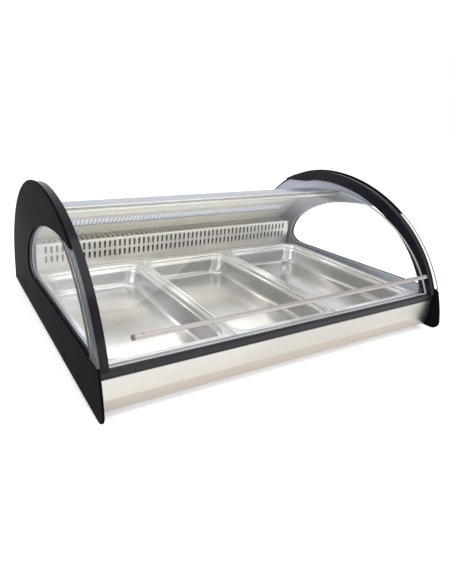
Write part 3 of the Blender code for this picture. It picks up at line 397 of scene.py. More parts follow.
MATS = {
    "cheek": surface("satin_black_moulding", (0.0046, 0.0046, 0.0058), (0.0058, 0.0058, 0.0070), 0.34,
                     grain=(900, 900, 900), grain_depth=0.00002, specular=0.002),
    "arch": surface("gloss_black_moulding", (0.0058, 0.0054, 0.0085), (0.0078, 0.0074, 0.0115), 0.16,
                    grain=(500, 500, 500), grain_depth=0.00001, specular=0.14, rough_spread=0.04),
    "rail": surface("slate_black_extrusion", (0.0100, 0.0100, 0.0135), (0.0140, 0.0140, 0.0180), 0.34,
                    grain=(3, 500, 500), grain_depth=0.00002, specular=0.25),
    "liner": surface("satin_grey_liner", (0.42, 0.44, 0.50), (0.36, 0.38, 0.44), 0.34, metal=0.35,
                     grain=(700, 700, 700), grain_depth=0.00002, grain_mix=0.05,
                     # painted shade: the liner's colour darkens to a deep blue-grey towards its lower rear
                     fades=(((0, 0.35, -1), -0.22, -0.13, (0.15, 0.165, 0.215)),)),
    "glass": glass("clear_tempered_glass", (0.990, 0.993, 0.993), 0.02, 0.45),
    "end_glass": glass("clear_end_glass", (0.985, 0.990, 0.992), 0.01, 0.30),
    # painted highlight: edges given this finish show as light grey lines, a lit copy of the teal edge colour
    "glass_edge": surface("glass_edge_painted_highlight", (0.36, 0.41, 0.43), (0.46, 0.51, 0.53), 0.16,
                          grain=(600, 60, 60), grain_depth=0.00003, coat=0.6),
    "teal_edge": surface("ground_glass_edge", (0.030, 0.048, 0.054), (0.045, 0.068, 0.074), 0.22,
                         grain=(600, 60, 60), grain_depth=0.00003, coat=0.15),
    "steel": steel("brushed_steel", (0.66, 0.65, 0.63), 0.30),
    "panel": steel("brushed_panel_steel", (0.560, 0.540, 0.500), 0.36, patch=(2.5, 9, 9), grain_mix=0.04,
                   # painted shade: below the crease the panel turns darker and warmer, and it darkens again
                   # towards its right end
                   fades=(((0, 0, -1), -0.047, -0.043, (0.475, 0.420, 0.370)),
                          ((1, 0, 0), 0.455, 0.508, (0.33, 0.30, 0.285)))),
    "wall": steel("polished_wall_steel", (0.93, 0.90, 0.80), 0.34, metal=0.45, grain=(1.3, 150, 150),
                  grain_mix=0.16, patch=(2, 30, 30), wave=(2.0, 22, 22), wave_depth=0.0004),
    # painted reflection and light: the roof's steel is tinted blue for the sky it mirrors, and its lip and the
    # glass's top rail take a lighter, warmer copy for the light from the front
    "roof": steel("brushed_roof_steel", (0.56, 0.59, 0.645), 0.30),
    "lip": steel("brushed_steel_painted_front_light", (0.84, 0.82, 0.76), 0.30),
    # painted shade: the plenum's steel is made very dark for the shade inside the case
    "plenum": steel("plenum_steel_painted_shade", (0.13, 0.14, 0.16), 0.45),
    "cover": steel("satin_cover_steel", (0.68, 0.66, 0.61), 0.38, metal=0.8, patch=(5, 14, 14)),
    # the pans are painted darker down their walls and lighter again on their floors: painted shade on the
    # walls, painted light on the floors
    "pan": clouded(surface("pressed_pan_steel", (0.92, 0.92, 0.92), (0.86, 0.86, 0.86), 0.20, metal=0.80,
                           grain=(1400, 9, 1400), grain_mix=0.02, patch=(9, 7, 12),
                           wave=(9, 6, 9), wave_depth=0.0005, rough_spread=0.015,
                           fades=(((0, 0, -1), -0.0935, -0.0800, (0.56, 0.56, 0.56)),
                                  ((0, 0, -1), -0.0490, -0.0405, (0.83, 0.82, 0.83)))),
                   (6, 8, 9), (0.78, 0.76, 0.72)),
    "satin": steel("satin_handle_steel", (0.47, 0.425, 0.405), 0.36),
    "chrome": surface("bright_turned_steel", (0.78, 0.78, 0.80), (0.70, 0.70, 0.72), 0.12, metal=1.0,
                      grain=(900, 900, 900), grain_depth=0.00001),
    "cap": surface("grey_brown_cap", (0.105, 0.090, 0.080), (0.13, 0.112, 0.10), 0.42, grain=(900, 900, 900),
                   grain_depth=0.00003),
    "seal": surface("grey_rubber_strip", (0.17, 0.18, 0.195), (0.21, 0.22, 0.235), 0.52, grain=(40, 900, 900),
                    grain_depth=0.00004),
    "plastic": surface("moulded_black_plastic", (0.018, 0.018, 0.020), (0.026, 0.026, 0.028), 0.46,
                       grain=(1400, 1400, 1400), grain_depth=0.00006),
    "rocker": surface("gloss_black_rocker", (0.016, 0.016, 0.018), (0.022, 0.022, 0.024), 0.24,
                      grain=(900, 900, 900), grain_depth=0.00001, coat=0.3),
    "mark": surface("white_print", (0.80, 0.80, 0.78), (0.72, 0.72, 0.70), 0.50, grain=(1500, 1500, 1500),
                    grain_depth=0.00002),
    "amber": surface("amber_lens", (0.80, 0.30, 0.03), (0.88, 0.40, 0.05), 0.14, grain=(1500, 1500, 1500),
                     grain_depth=0.00002, coat=0.8, glow=((0.9, 0.35, 0.05), 0.25)),
    # painted shade: dark stripes at the ribs' pitch stand for the shade between the lens's ribs
    "lens": striped(surface("ribbed_lamp_lens", (0.62, 0.655, 0.74), (0.70, 0.73, 0.81), 0.26,
                            grain=(20, 900, 900), grain_depth=0.00003, coat=0.4,
                            glow=((0.72, 0.80, 1.0), 0.12)),
                    LENS_PITCH, (0.30, 0.33, 0.40)),
    "element": surface("heat_darkened_sheath", (0.20, 0.17, 0.145), (0.30, 0.26, 0.22), 0.48, metal=0.8,
                       grain=(700, 700, 700), grain_depth=0.00005, patch=(30, 30, 30), grain_mix=0.2),
    "rubber": surface("black_foot_rubber", (0.014, 0.014, 0.014), (0.022, 0.022, 0.022), 0.72,
                      grain=(1600, 1600, 1600), grain_depth=0.00008),
    "floor": surface("pale_floor", (0.93, 0.93, 0.93), (0.915, 0.915, 0.915), 0.75, grain=(60, 60, 60),
                     grain_depth=0.00002, glow=((1, 1, 1), 0.30)),
}
CAD_MATERIALS = {   # finish: the CAD nodes that show and take it
    "liner": ["liner_left", "liner_right"],
    "steel": ["base_pan", "well_deck", "divider_bar_left", "divider_bar_right", "well_tray",
              "light_housing", "rear_panel", "thermostat"],
    "plenum": ["plenum_wall"],
    "seal": ["glass_seat"],
    "lip": ["glass_top_rail"],
    "chrome": ["hinge_pin_left", "hinge_pin_right"],
    "plastic": ["power_switch_frame", "light_switch_frame", "fan_frame_left", "fan_frame_right",
                "fan_rotor_left", "fan_rotor_right"],
    "element": ["well_heater_left", "well_heater_centre", "well_heater_right", "air_heater"],
}


def dress_cad_nodes():
    for key, names in CAD_MATERIALS.items():
        for name in names:
            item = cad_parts[name]
            if not item.material_slots:
                item.data.materials.append(MATS[key])
            for slot in item.material_slots:
                slot.material = MATS[key]


# ---------------------------------------------------------------- outlines of the ends
def angle_at_z(z, centre_z, b):
    """The angle, on a front curve, of the point at height z."""
    return 180 - math.degrees(math.asin((z - centre_z) / b))


def angle_at_y(y, a):
    """The angle, on a front curve about the crown line, of the point at y."""
    return 180 - math.degrees(math.acos((CROWN_Y - y) / a))


def curve_z(y, centre_y, centre_z, a, b):
    """The height of an ellipse's upper half at y."""
    return centre_z + b * math.sqrt(max(0.0, 1 - ((y - centre_y) / a) ** 2))


def window_rear(grow, start_y):
    """The window's edge, grown by grow, from start_y back over its top and round to its sill."""
    a, b = WINDOW_A + grow, WINDOW_B + grow
    first = math.degrees(math.acos((start_y - WINDOW_Y) / a))
    upper = arc((WINDOW_Y, WINDOW_Z), a, b, first, 0, 44)
    lower = arc((SILL_REAR_Y, WINDOW_Z), WINDOW_Y + WINDOW_A - SILL_REAR_Y + grow,
                WINDOW_Z - SILL_REAR_Z + grow, 0, -90, 14)
    return upper + lower[1:]


def meeting_y(centre_z, a, b, grow):
    """Where the window's upper curve, grown by grow, meets a front curve about the crown line."""
    low, high = -0.30, CROWN_Y
    for _ in range(60):
        y = (low + high) / 2
        window = curve_z(y, WINDOW_Y, WINDOW_Z, WINDOW_A + grow, WINDOW_B + grow)
        if curve_z(y, CROWN_Y, centre_z, a, b) < window:
            low = y
        else:
            high = y
    return (low + high) / 2


def cheek_outline():
    """The C-shaped end plate, open at the front above its shoulder."""
    tip_y = meeting_y(FRONT_CURVE_Z, FRONT_CURVE_A, FRONT_CURVE_B, 0.0)
    corner = 0.012
    rear = arc((CROWN_Y, REAR_CURVE_Z), REAR_CURVE_A, REAR_CURVE_B, 0, 90, 56)
    front = arc(FRONT_CENTRE, FRONT_CURVE_A, FRONT_CURVE_B, 90, angle_at_y(tip_y, FRONT_CURVE_A), 40)[1:]
    low_front = arc(FRONT_CENTRE, FRONT_CURVE_A, FRONT_CURVE_B,
                    angle_at_z(SHOULDER_Z - corner, FRONT_CURVE_Z, FRONT_CURVE_B),
                    angle_at_z(TOE_Z, FRONT_CURVE_Z, FRONT_CURVE_B), 16)
    shoulder = arc((low_front[0][0] + corner, SHOULDER_Z - corner), corner, corner, 90, 180, 10)[:-1]
    toe_radius = TOE_Z - PLATE_FOOT_Z
    toe = arc((TOE_Y + toe_radius, TOE_Z), toe_radius, toe_radius, 180, 270, 14)[1:]
    return [(REAR_Y, PLATE_FOOT_Z)] + rear + front + window_rear(0.0, tip_y)[1:] + shoulder + low_front + toe


def arch_curve(offset, low_z, end_y):
    """The arch's curve, offset inwards, from low_z at the front over the crown to end_y."""
    a, b = ARCH_A - offset, ARCH_B - offset
    front = arc(ARCH_CENTRE, a, b, angle_at_z(low_z, ARCH_CURVE_Z, b), 90, 64)
    rear_a, rear_b = REAR_CURVE_A - ARCH_INSET - offset, REAR_CURVE_B - ARCH_INSET - offset
    rear_end = math.degrees(math.acos((end_y - CROWN_Y) / rear_a))
    return front + arc((CROWN_Y, REAR_CURVE_Z), rear_a, rear_b, 90, rear_end, 20)[1:]


def arch_outline():
    stand_z, foot_z = RAIL_TOP_Z + GAP, DECK_Z + GAP
    outer = arch_curve(0.0, stand_z, ARCH_END_OUT_Y)
    inner = arch_curve(ARCH_DEPTH, stand_z, ARCH_END_IN_Y)[::-1]
    foot_rear, foot_front = inner[-1][0] - 0.0010, FRONT_Y + 0.0090
    foot = [(foot_rear, stand_z), (foot_rear, foot_z), (foot_front, foot_z), (foot_front, stand_z)]
    return outer + inner + foot


def pane_outline():
    """The end pane behind the window, inside the arch's curve."""
    grow, clear, sill = 0.010, ARCH_DEPTH + GAP, DECK_Z + GAP
    tip_y = meeting_y(ARCH_CURVE_Z, ARCH_A - clear, ARCH_B - clear, grow)
    front = [p for p in arch_curve(clear, RAIL_TOP_Z, CROWN_Y + 0.01) if p[0] < tip_y]
    rear = [(y, max(z, sill)) for y, z in window_rear(grow, tip_y)]
    return front + rear + [(front[0][0], sill)]


def outer_pane_outline():
    """Returns the edge along the front curve and the whole outline of the pane over the arch's side."""
    clear = 2 * GAP
    inner_a, inner_b = ARCH_A - ARCH_DEPTH, ARCH_B - ARCH_DEPTH
    tip_y = meeting_y(FRONT_CURVE_Z, FRONT_CURVE_A, FRONT_CURVE_B, -clear)
    rear_y = meeting_y(ARCH_CURVE_Z, inner_a, inner_b, -clear)
    sill = SHOULDER_Z + clear
    outer = arc(FRONT_CENTRE, FRONT_CURVE_A, FRONT_CURVE_B,
                angle_at_z(sill, FRONT_CURVE_Z, FRONT_CURVE_B), angle_at_y(tip_y, FRONT_CURVE_A), 48)
    upper = []
    for k in range(1, 12):
        y = tip_y + (rear_y - tip_y) * k / 12
        upper.append((y, curve_z(y, WINDOW_Y, WINDOW_Z, WINDOW_A - clear, WINDOW_B - clear)))
    inner = arc(ARCH_CENTRE, inner_a, inner_b,
                angle_at_y(rear_y, inner_a), angle_at_z(sill, ARCH_CURVE_Z, inner_b), 48)
    return outer, outer + upper + inner


def build_ends():
    outer_edge, outer_pane = outer_pane_outline()
    pane_edge = arch_curve(ARCH_DEPTH + 2 * GAP, RAIL_TOP_Z, CROWN_Y + 0.01)
    pane_out = PLATE_IN_X - GAP
    for side, sign in SIDES:
        bm = bmesh.new()
        add_prism(bm, outer_pane, sign * (PLATE_IN_X + GAP), sign * (CHEEK_OUT_X - GAP))
        mark_rim(bm, outer_edge)
        piece(bm, f"outer_pane_{side}", [MATS["end_glass"], MATS["teal_edge"], MATS["arch"]], "case",
              (), 30)
        bm = bmesh.new()
        add_prism(bm, cheek_outline(), sign * PLATE_IN_X, sign * CHEEK_OUT_X)
        cheek = piece(bm, f"end_plate_{side}", MATS["cheek"], "case", [f"cheek_{side}"], 30)
        bevel(cheek, 0.0026, 4)
        bm = bmesh.new()
        add_prism(bm, arch_outline(), sign * ARCH_IN_X, sign * pane_out)
        arch = piece(bm, f"front_arch_{side}", MATS["arch"], "case", [f"arch_{side}"], 30)
        bevel(arch, 0.0042, 5)
        bm = bmesh.new()
        add_prism(bm, pane_outline(), sign * (pane_out - PANE_THICK), sign * pane_out)
        mark_rim(bm, pane_edge)
        piece(bm, f"end_pane_{side}", [MATS["end_glass"], MATS["teal_edge"], MATS["glass_edge"]], "case",
              [f"side_glass_{side}"], 30)


# ---------------------------------------------------------------- body panels
def folded(name, path, thickness, radii, half, mat, node_name):
    """A folded sheet that runs from -half to half in X and stands for one CAD node."""
    bm = bmesh.new()
    add_prism(bm, sheet_outline(path, thickness, radii), -half, half)
    return piece(bm, name, mat, "case", [node_name], 30)


def build_front():
    panel = [(FRONT_Y + 0.012, PANEL_TOP_Z), (FRONT_Y, PANEL_TOP_Z), (FRONT_Y, CREASE_Z),
             (FRONT_Y + 0.003, PANEL_FOOT_Z), (FRONT_Y + 0.012, PANEL_FOOT_Z)]
    folded("customer_panel", panel, SHEET, (0.0022, 0.004, 0.0030), BODY_HALF, MATS["panel"],
           "front_panel")
    nose = 0.0045
    low, face = PANEL_TOP_Z + GAP, FRONT_Y - 0.0005
    rear, foot_rear, step_z = FRONT_Y + 0.0062, FRONT_Y + 0.018, DECK_Z - 0.003
    rail = arc((face + nose, RAIL_TOP_Z - nose), nose, nose, 180, 90, 12)
    rail += [(rear, RAIL_TOP_Z), (rear, step_z), (foot_rear, step_z), (foot_rear, low)]
    rail += [(face + 0.0012, low), (face + 0.0004, low + 0.0005), (face, low + 0.0014)]
    # a shallow groove runs along the rail's face
    groove = face + 0.0007
    rail += [(face, low + 0.0030), (groove, low + 0.0034), (groove, low + 0.0042), (face, low + 0.0046)]
    bm = bmesh.new()
    add_prism(bm, rail, -BODY_HALF, BODY_HALF)
    piece(bm, "counter_rail", MATS["rail"], "case", ["front_rail"], 35)


def add_slot(bm, x, centre, reach, flat):
    """A slot with round ends: it stands upright in the cover's face, and runs back in its flat top."""
    r = SLOT_WIDTH / 2
    outline = []
    for end, start in ((1, 0), (-1, 180)):
        for k in range(7):
            a = math.radians(start + 180 * k / 6)
            outline.append((x + r * math.cos(a), end * (reach - r) + r * math.sin(a)))
    rings = []
    for depth in (-0.004, 0.004):
        if flat:
            rings.append([(px, centre + v, COVER_TOP_Z + depth) for px, v in outline])
        else:
            rings.append([(px, COVER_Y + depth, centre + v) for px, v in outline])
    add_rings(bm, rings)


def build_cover():
    half = INNER_HALF - 0.008
    back = COVER_Y + COVER_DEPTH
    path = [(back, COVER_TOP_Z - 0.010), (back, COVER_TOP_Z), (COVER_Y, COVER_TOP_Z), (COVER_Y, DECK_Z + GAP)]
    cover = folded("slotted_cover", path, FORMED_SHEET, (0.0025, 0.0028), half, MATS["cover"],
                   "heater_cover")
    bm = bmesh.new()
    for k in range(SLOT_COUNT):
        x = (k - (SLOT_COUNT - 1) / 2) * SLOT_PITCH
        for below, reach in FACE_SLOTS:
            add_slot(bm, x, COVER_TOP_Z - below, reach, False)
        add_slot(bm, x, COVER_Y + TOP_SLOT[0], TOP_SLOT[1], True)
    # a round fixing hole near each end of the face
    hole, hole_x, hole_z = 0.0022, half - 0.0060, COVER_TOP_Z - 0.012
    for _, sign in SIDES:
        ring = [(sign * hole_x + hole * math.cos(a), hole * math.sin(a))
                for a in (2 * math.pi * k / 16 for k in range(16))]
        add_rings(bm, [[(x, COVER_Y + depth, hole_z + v) for x, v in ring] for depth in (-0.004, 0.004)])
    cut_with(cover, bm, "cover_slots")


def build_canopy():
    wall_foot = Vector((COVER_Y + COVER_DEPTH + 0.0045, COVER_TOP_Z - 0.004))
    wall_knee = Vector((COVER_Y - 0.0180, 0.2720))
    wall_top = Vector((ROOF_REAR_Y - 0.0010, ROOF_REAR_Z - 0.0060))
    folded("polished_back_wall", [wall_top, wall_knee, wall_foot], SHEET, (0.010,), INNER_HALF, MATS["wall"],
           "back_wall")

    # the light strip lies on the wall's lower face, in three lengths
    along = (wall_knee - wall_foot).normalized()
    out = Vector((-along.y, along.x))
    middle = wall_foot + along * 0.092 + out * 0.0034
    third = 2 * LENS_HALF / 3
    far, near = LENS_REACH * 0.93, LENS_REACH * 0.75
    for k, (side, _) in enumerate(PANS):
        x0 = -LENS_HALF + k * third + 0.0015
        x1 = x0 + third - 0.003
        steps = int((x1 - x0) / LENS_PITCH) * 10
        rings = []
        for i in range(steps + 1):
            x = x0 + (x1 - x0) * i / steps
            swell = 0.0038 + 0.0014 * math.sqrt(abs(math.sin(math.pi * (x - x0) / LENS_PITCH)))
            section = [(-LENS_REACH, 0.0), (-LENS_REACH, swell * 0.55), (-far, swell * 0.85), (-near, swell),
                       (near, swell), (far, swell * 0.85), (LENS_REACH, swell * 0.55), (LENS_REACH, 0.0)]
            ring = [middle + along * u + out * v for u, v in section]
            rings.append([(x, p.x, p.y) for p in ring])
        bm = bmesh.new()
        add_rings(bm, rings)
        piece(bm, f"ribbed_lens_{side}", MATS["lens"], "case", [f"light_lens_{side}"], 50)

    lip = 0.0150
    roof = [(ROOF_REAR_Y, ROOF_REAR_Z), (ROOF_FRONT_Y, ROOF_FRONT_Z),
            (ROOF_FRONT_Y + 0.0020, ROOF_FRONT_Z - lip)]
    roof_piece = folded("folded_roof", roof, FORMED_SHEET, (0.0026,), INNER_HALF,
                        [MATS["roof"], MATS["lip"]], "roof_plate")
    # the lip's faces take the lighter copy of the roof's steel: painted light from the front
    for face in roof_piece.data.polygons:
        if face.center.z < ROOF_FRONT_Z - 0.0012 and face.center.y < ROOF_FRONT_Y + 0.005:
            face.material_index = 1
    hood_knee = (REAR_PANEL_Y + 0.0010, REAR_PANEL_TOP_Z + 0.004)
    hood = [(hood_knee[0], REAR_PANEL_TOP_Z - 0.012), hood_knee, (ROOF_REAR_Y + GAP, ROOF_REAR_Z)]
    folded("folded_hood", hood, SHEET, (0.004,), INNER_HALF, MATS["roof"], "rear_hood")


def build_screws():
    bm = bmesh.new()
    back = REAR_PANEL_Y + 0.0010
    for k in range(6):
        x = -0.465 + 0.186 * k
        add_screw(bm, (x, back, REAR_PANEL_TOP_Z - 0.0045), (0, 1, 0))
        add_screw(bm, (x, REAR_FACE, 0.047), (0, 1, 0))
    piece(bm, "rear_screws", MATS["chrome"], "case", (), 40)
    # one screw at the left, square to the back wall's lower face
    bm = bmesh.new()
    add_screw(bm, (-0.330, 0.2548, 0.1972), (0, -0.7294, 0.6840), 0.0026)
    piece(bm, "wall_screw", MATS["chrome"], "case", (), 40)


# ---------------------------------------------------------------- pans
PAN_PROFILE = [   # (inset from the rim's outer edge, height from the rim, corner radius)
    (0.0004, -0.0010, 0.0140), (0.0000, -0.0006, 0.0140), (0.0003, 0.0002, 0.0140), (0.0012, 0.0006, 0.0145),
    (0.0024, 0.0004, 0.0150), (0.0034, -0.0003, 0.0155), (0.0066, -0.0003, 0.0240), (0.0080, 0.0006, 0.0290),
    (0.0098, 0.0012, 0.0330), (0.0116, 0.0006, 0.0350), (0.0128, -0.0010, 0.0355), (0.0137, -0.0032, 0.0360),
    (0.0140, -0.0058, 0.0360), (0.0142, -0.0094, 0.0360), (0.0150, -0.0112, 0.0365), (0.0166, -0.0124, 0.0370),
    (0.0180, -0.0133, 0.0375), (0.0187, -0.0150, 0.0380), (0.0198, -0.0230, 0.0390), (0.0222, -0.0370, 0.0410),
    (0.0246, -0.0500, 0.0435), (0.0262, -0.0560, 0.0450), (0.0284, -0.0600, 0.0460), (0.0312, -0.0626, 0.0470),
    (0.0346, -0.0642, 0.0480), (0.0386, -0.0649, 0.0490), (0.0440, -0.0650, 0.0500),
]
PAN_UNDERSIDE_ROW, PAN_STEEL = 8, 0.0009    # the underside follows the profile from this row down


def build_pans():
    cy = PAN_FRONT_Y + PAN_LENGTH / 2
    for side, k in PANS:
        cx = k * PAN_PITCH

        def ring(inset, drop, radius, under=0.0):
            half_x, half_y = PAN_WIDTH / 2 - inset + under, PAN_LENGTH / 2 - inset + under
            points = rounded_rectangle(half_x, half_y, radius, 14)
            return [(cx + x, cy + y, PAN_RIM_Z + drop - under) for x, y in points]

        rings = [ring(*row) for row in reversed(PAN_PROFILE)]
        rings += [ring(*row, under=PAN_STEEL) for row in PAN_PROFILE[PAN_UNDERSIDE_ROW:]]
        bm = bmesh.new()
        add_rings(bm, rings)
        piece(bm, f"pressed_pan_{side}", MATS["pan"], f"pan_{side}", [f"gn_pan_{side}"], 50)


# ---------------------------------------------------------------- front glass and handle
def build_front_glass():
    """A bent sheet with a shell outside and inside, joined by ground edges."""
    top_y = HINGE_Y - 0.0060
    rings = []
    for inset in (0.0, GLASS_THICK):
        a, b = GLASS_A - inset, GLASS_B - inset
        last = math.degrees(math.acos((top_y - GLASS_Y) / a))
        rings.append(arc((GLASS_Y, 0.0), a, b, angle_at_z(GLASS_FOOT_Z, 0.0, b), last, 96))
    count = len(rings[0])
    bm = bmesh.new()
    grid = [[[bm.verts.new((x, *p)) for p in ring] for ring in rings] for x in (-GLASS_HALF, GLASS_HALF)]
    (left_out, left_in), (right_out, right_in) = grid
    for i in range(count - 1):
        bm.faces.new((left_out[i], left_out[i + 1], right_out[i + 1], right_out[i]))
        bm.faces.new((left_in[i], left_in[i + 1], right_in[i + 1], right_in[i]))
        for out, inn in ((left_out, left_in), (right_out, right_in)):
            bm.faces.new((out[i], out[i + 1], inn[i + 1], inn[i])).material_index = 1
    for i in (0, count - 1):
        bm.faces.new((left_out[i], right_out[i], right_in[i], left_in[i])).material_index = 1
    piece(bm, "bent_front_glass", [MATS["glass"], MATS["glass_edge"]], "front_glass",
          ["curved_glass"], 30)


def build_handle():
    """A bar with a cap at each end, on two stems square to the glass."""
    foot_y = GLASS_Y - GLASS_A * math.sqrt(1 - (HANDLE_FOOT_Z / GLASS_B) ** 2)
    on_glass = Vector((0, foot_y, HANDLE_FOOT_Z))
    ahead = Vector((0, (foot_y - GLASS_Y) / GLASS_A ** 2, HANDLE_FOOT_Z / GLASS_B ** 2)).normalized()
    grip = on_glass + ahead * HANDLE_STAND
    r, bar_half = HANDLE_RADIUS, HANDLE_HALF - HANDLE_CAP
    bm = bmesh.new()
    add_turned(bm, [(r * 0.9, 0), (r, 0.0005), (r, 2 * bar_half - 0.0005), (r * 0.9, 2 * bar_half)],
               grip - Vector((bar_half, 0, 0)), (1, 0, 0))
    piece(bm, "handle_bar", MATS["satin"], "front_glass", ["handle_rod"], 40)
    length = HANDLE_STAND - r - 2 * GAP
    cap = [(r * 0.8, 0), (r * 1.04, 0.0003), (r * 1.06, 0.0012), (r * 1.04, HANDLE_CAP - 0.0014),
           (r * 0.9, HANDLE_CAP - 0.0004), (r * 0.6, HANDLE_CAP)]
    stem = [(0.0064, 0), (0.0066, 0.0004), (0.0066, 0.0024), (0.0062, 0.0031), (0.0052, 0.0036),
            (0.0047, 0.0050), (0.0044, 0.0080), (0.0044, length - 0.003), (0.0050, length)]
    for side, sign in SIDES:
        bm = bmesh.new()
        add_turned(bm, cap, grip + Vector((sign * bar_half, 0, 0)), (sign, 0, 0))
        piece(bm, f"handle_cap_{side}", MATS["cap"], "front_glass", (), 40)
        bm = bmesh.new()
        add_turned(bm, stem, on_glass + ahead * GAP + Vector((sign * HANDLE_POST_X, 0, 0)), ahead)
        piece(bm, f"handle_stem_{side}", MATS["satin"], "front_glass",
              [f"handle_post_{side}"], 40)
        bm = bmesh.new()
        place = grip + Vector((sign * (HANDLE_POST_X - 0.0015), 0, 0))
        for direction in ((0, 0, 1), (0, 0, -1)):
            add_screw(bm, place + Vector(direction) * (r - 0.0004), direction, 0.0022)
        piece(bm, f"handle_screws_{side}", MATS["cap"], "front_glass", (), 40)


# ---------------------------------------------------------------- controls, gland and feet
def build_knob():
    def fluted(a, r, along):
        grip = 0.0050 < along < 0.0198 and r > 0.010
        return r * (1 + 0.028 * math.cos(16 * a)) if grip else r

    bm = bmesh.new()
    add_turned(bm, [(0.0042, 0.0094), (0.0042, 0.0012), (0.0205, 0.0010), (0.0210, 0.0015), (0.0210, 0.0036),
                    (0.0200, 0.0046), (0.0168, 0.0056), (0.0162, 0.0070), (0.0156, 0.0185), (0.0148, 0.0200),
                    (0.0130, 0.0205), (0.0118, 0.0199), (0.0020, 0.0199)],
               (KNOB_X, REAR_FACE, CONTROL_Z), (0, 1, 0), 96, fluted)
    piece(bm, "control_knob", MATS["plastic"], "thermostat_dial", ["thermostat_knob"], 35)
    bm = bmesh.new()
    pointer = [(KNOB_X + x, REAR_FACE + 0.0199, CONTROL_Z + z)
               for x, z in ((-0.0009, 0.002), (0.0009, 0.002), (0.0009, 0.0112), (-0.0009, 0.0112))]
    add_rings(bm, [pointer, [(x, y + 0.0005, z) for x, y, z in pointer]])
    piece(bm, "knob_pointer", MATS["mark"], "thermostat_dial", (), 35)


def build_dial_marks():
    """The printed scale round the knob: eleven marks over its 270 degrees of turn."""
    bm = bmesh.new()
    for k in range(11):
        a = math.radians(90 - 27 * k)
        along, across = Vector((math.cos(a), 0, math.sin(a))), Vector((-math.sin(a), 0, math.cos(a)))
        inner, outer, wide = 0.0225, 0.0265 if k % 5 else 0.0285, 0.0005
        ends = ((inner, -wide), (outer, -wide), (outer, wide), (inner, wide))
        corners = [along * r + across * w for r, w in ends]
        low = [Vector((KNOB_X, REAR_FACE + 0.00005, CONTROL_Z)) + c for c in corners]
        add_rings(bm, [low, [p + Vector((0, 0.0002, 0)) for p in low]])
    piece(bm, "dial_marks", MATS["rail"], "case", (), 35)


def build_rockers():
    for name, body, x in (("power", "power_key", SWITCH_X), ("light", "light_key", LIGHT_SWITCH_X)):
        reach, high, low = 0.0070, 0.0062, 0.0028
        outline = [(REAR_FACE - 0.0060, CONTROL_Z - reach), (REAR_FACE + low, CONTROL_Z - reach)]
        for k in range(1, 12):
            u = k / 12
            sag = 0.0015 * math.sin(math.pi * u)
            outline.append((REAR_FACE + low + (high - low) * u - sag, CONTROL_Z - reach + 2 * reach * u))
        outline += [(REAR_FACE + high, CONTROL_Z + reach), (REAR_FACE - 0.0060, CONTROL_Z + reach)]
        bm = bmesh.new()
        add_prism(bm, outline, x - 0.0110, x + 0.0110)
        rocker = piece(bm, f"{name}_rocker", MATS["rocker"], body,
                       [f"{name}_switch_rocker"], 35)
        bevel(rocker, 0.0005, 2)
        # a bar for on and a ring for off
        bm = bmesh.new()
        top = REAR_FACE + 0.0046
        bar = [(x - 0.0003, top - 0.0003, CONTROL_Z + 0.0028), (x + 0.0003, top - 0.0003, CONTROL_Z + 0.0028),
               (x + 0.0003, top + 0.0004, CONTROL_Z + 0.0052), (x - 0.0003, top + 0.0004, CONTROL_Z + 0.0052)]
        add_rings(bm, [bar, [(px, py - 0.0006, pz) for px, py, pz in bar]])
        rings = []
        section = ((0.0009, -0.0004), (0.0009, 0.0002), (0.0014, 0.0002), (0.0014, -0.0004), (0.0009, -0.0004))
        for r, y in section:
            rings.append([(x + r * math.cos(a), REAR_FACE + 0.0024 + y, CONTROL_Z - 0.0040 + r * math.sin(a))
                          for a in (2 * math.pi * k / 24 for k in range(24))])
        add_rings(bm, rings, False)
        piece(bm, f"{name}_marks", MATS["mark"], body, (), 35)


def build_lamp_and_gland():
    bm = bmesh.new()
    add_turned(bm, [(0.0050, -0.018), (0.0050, 0.0004), (0.0075, 0.0004), (0.0076, 0.0022), (0.0070, 0.0032),
                    (0.0058, 0.0036), (0.0054, 0.0050), (0.0040, 0.0059), (0.0015, 0.0062)],
               (LAMP_X, REAR_FACE, CONTROL_Z), (0, 1, 0))
    piece(bm, "lamp_lens_amber", MATS["amber"], "case", ["pilot_lamp"], 35)

    def hexed(a, r, along):
        flat = math.cos(math.pi / 6) / math.cos((a % (math.pi / 3)) - math.pi / 6)
        return r * flat if 0.0088 < along < 0.0172 and r > 0.009 else r

    bm = bmesh.new()
    add_turned(bm, [(0.0042, -0.010), (0.0078, -0.014), (0.0078, 0.0004), (0.0128, 0.0004), (0.0130, 0.0010),
                    (0.0130, 0.0066), (0.0122, 0.0074), (0.0100, 0.0078), (0.0100, 0.0086), (0.0115, 0.0090),
                    (0.0115, 0.0170), (0.0096, 0.0176), (0.0088, 0.0205), (0.0070, 0.0226), (0.0056, 0.0230),
                    (0.0044, 0.0228), (0.0042, 0.0215)],
               (GLAND_X, REAR_FACE, GLAND_Z), (0, 1, 0), 72, hexed)
    piece(bm, "gland_nut", MATS["plastic"], "case", ["cable_gland"], 35)


def build_feet():
    for fore, y in (("front", -0.300), ("rear", 0.330)):
        for side, sign in SIDES:
            bm = bmesh.new()
            add_turned(bm, [(0.0150, 0), (0.0185, 0.0006), (0.0198, 0.0018), (0.0200, 0.0034), (0.0192, 0.0052),
                            (0.0186, 0.0060), (0.0188, 0.0068), (0.0178, 0.0110), (0.0172, 0.0150),
                            (0.0166, PANEL_FOOT_Z - GAP)], (sign * 0.440, y, 0), (0, 0, 1))
            piece(bm, f"rubber_foot_{fore}_{side}", MATS["rubber"], "case",
                  [f"foot_{fore}_{side}"], 35)


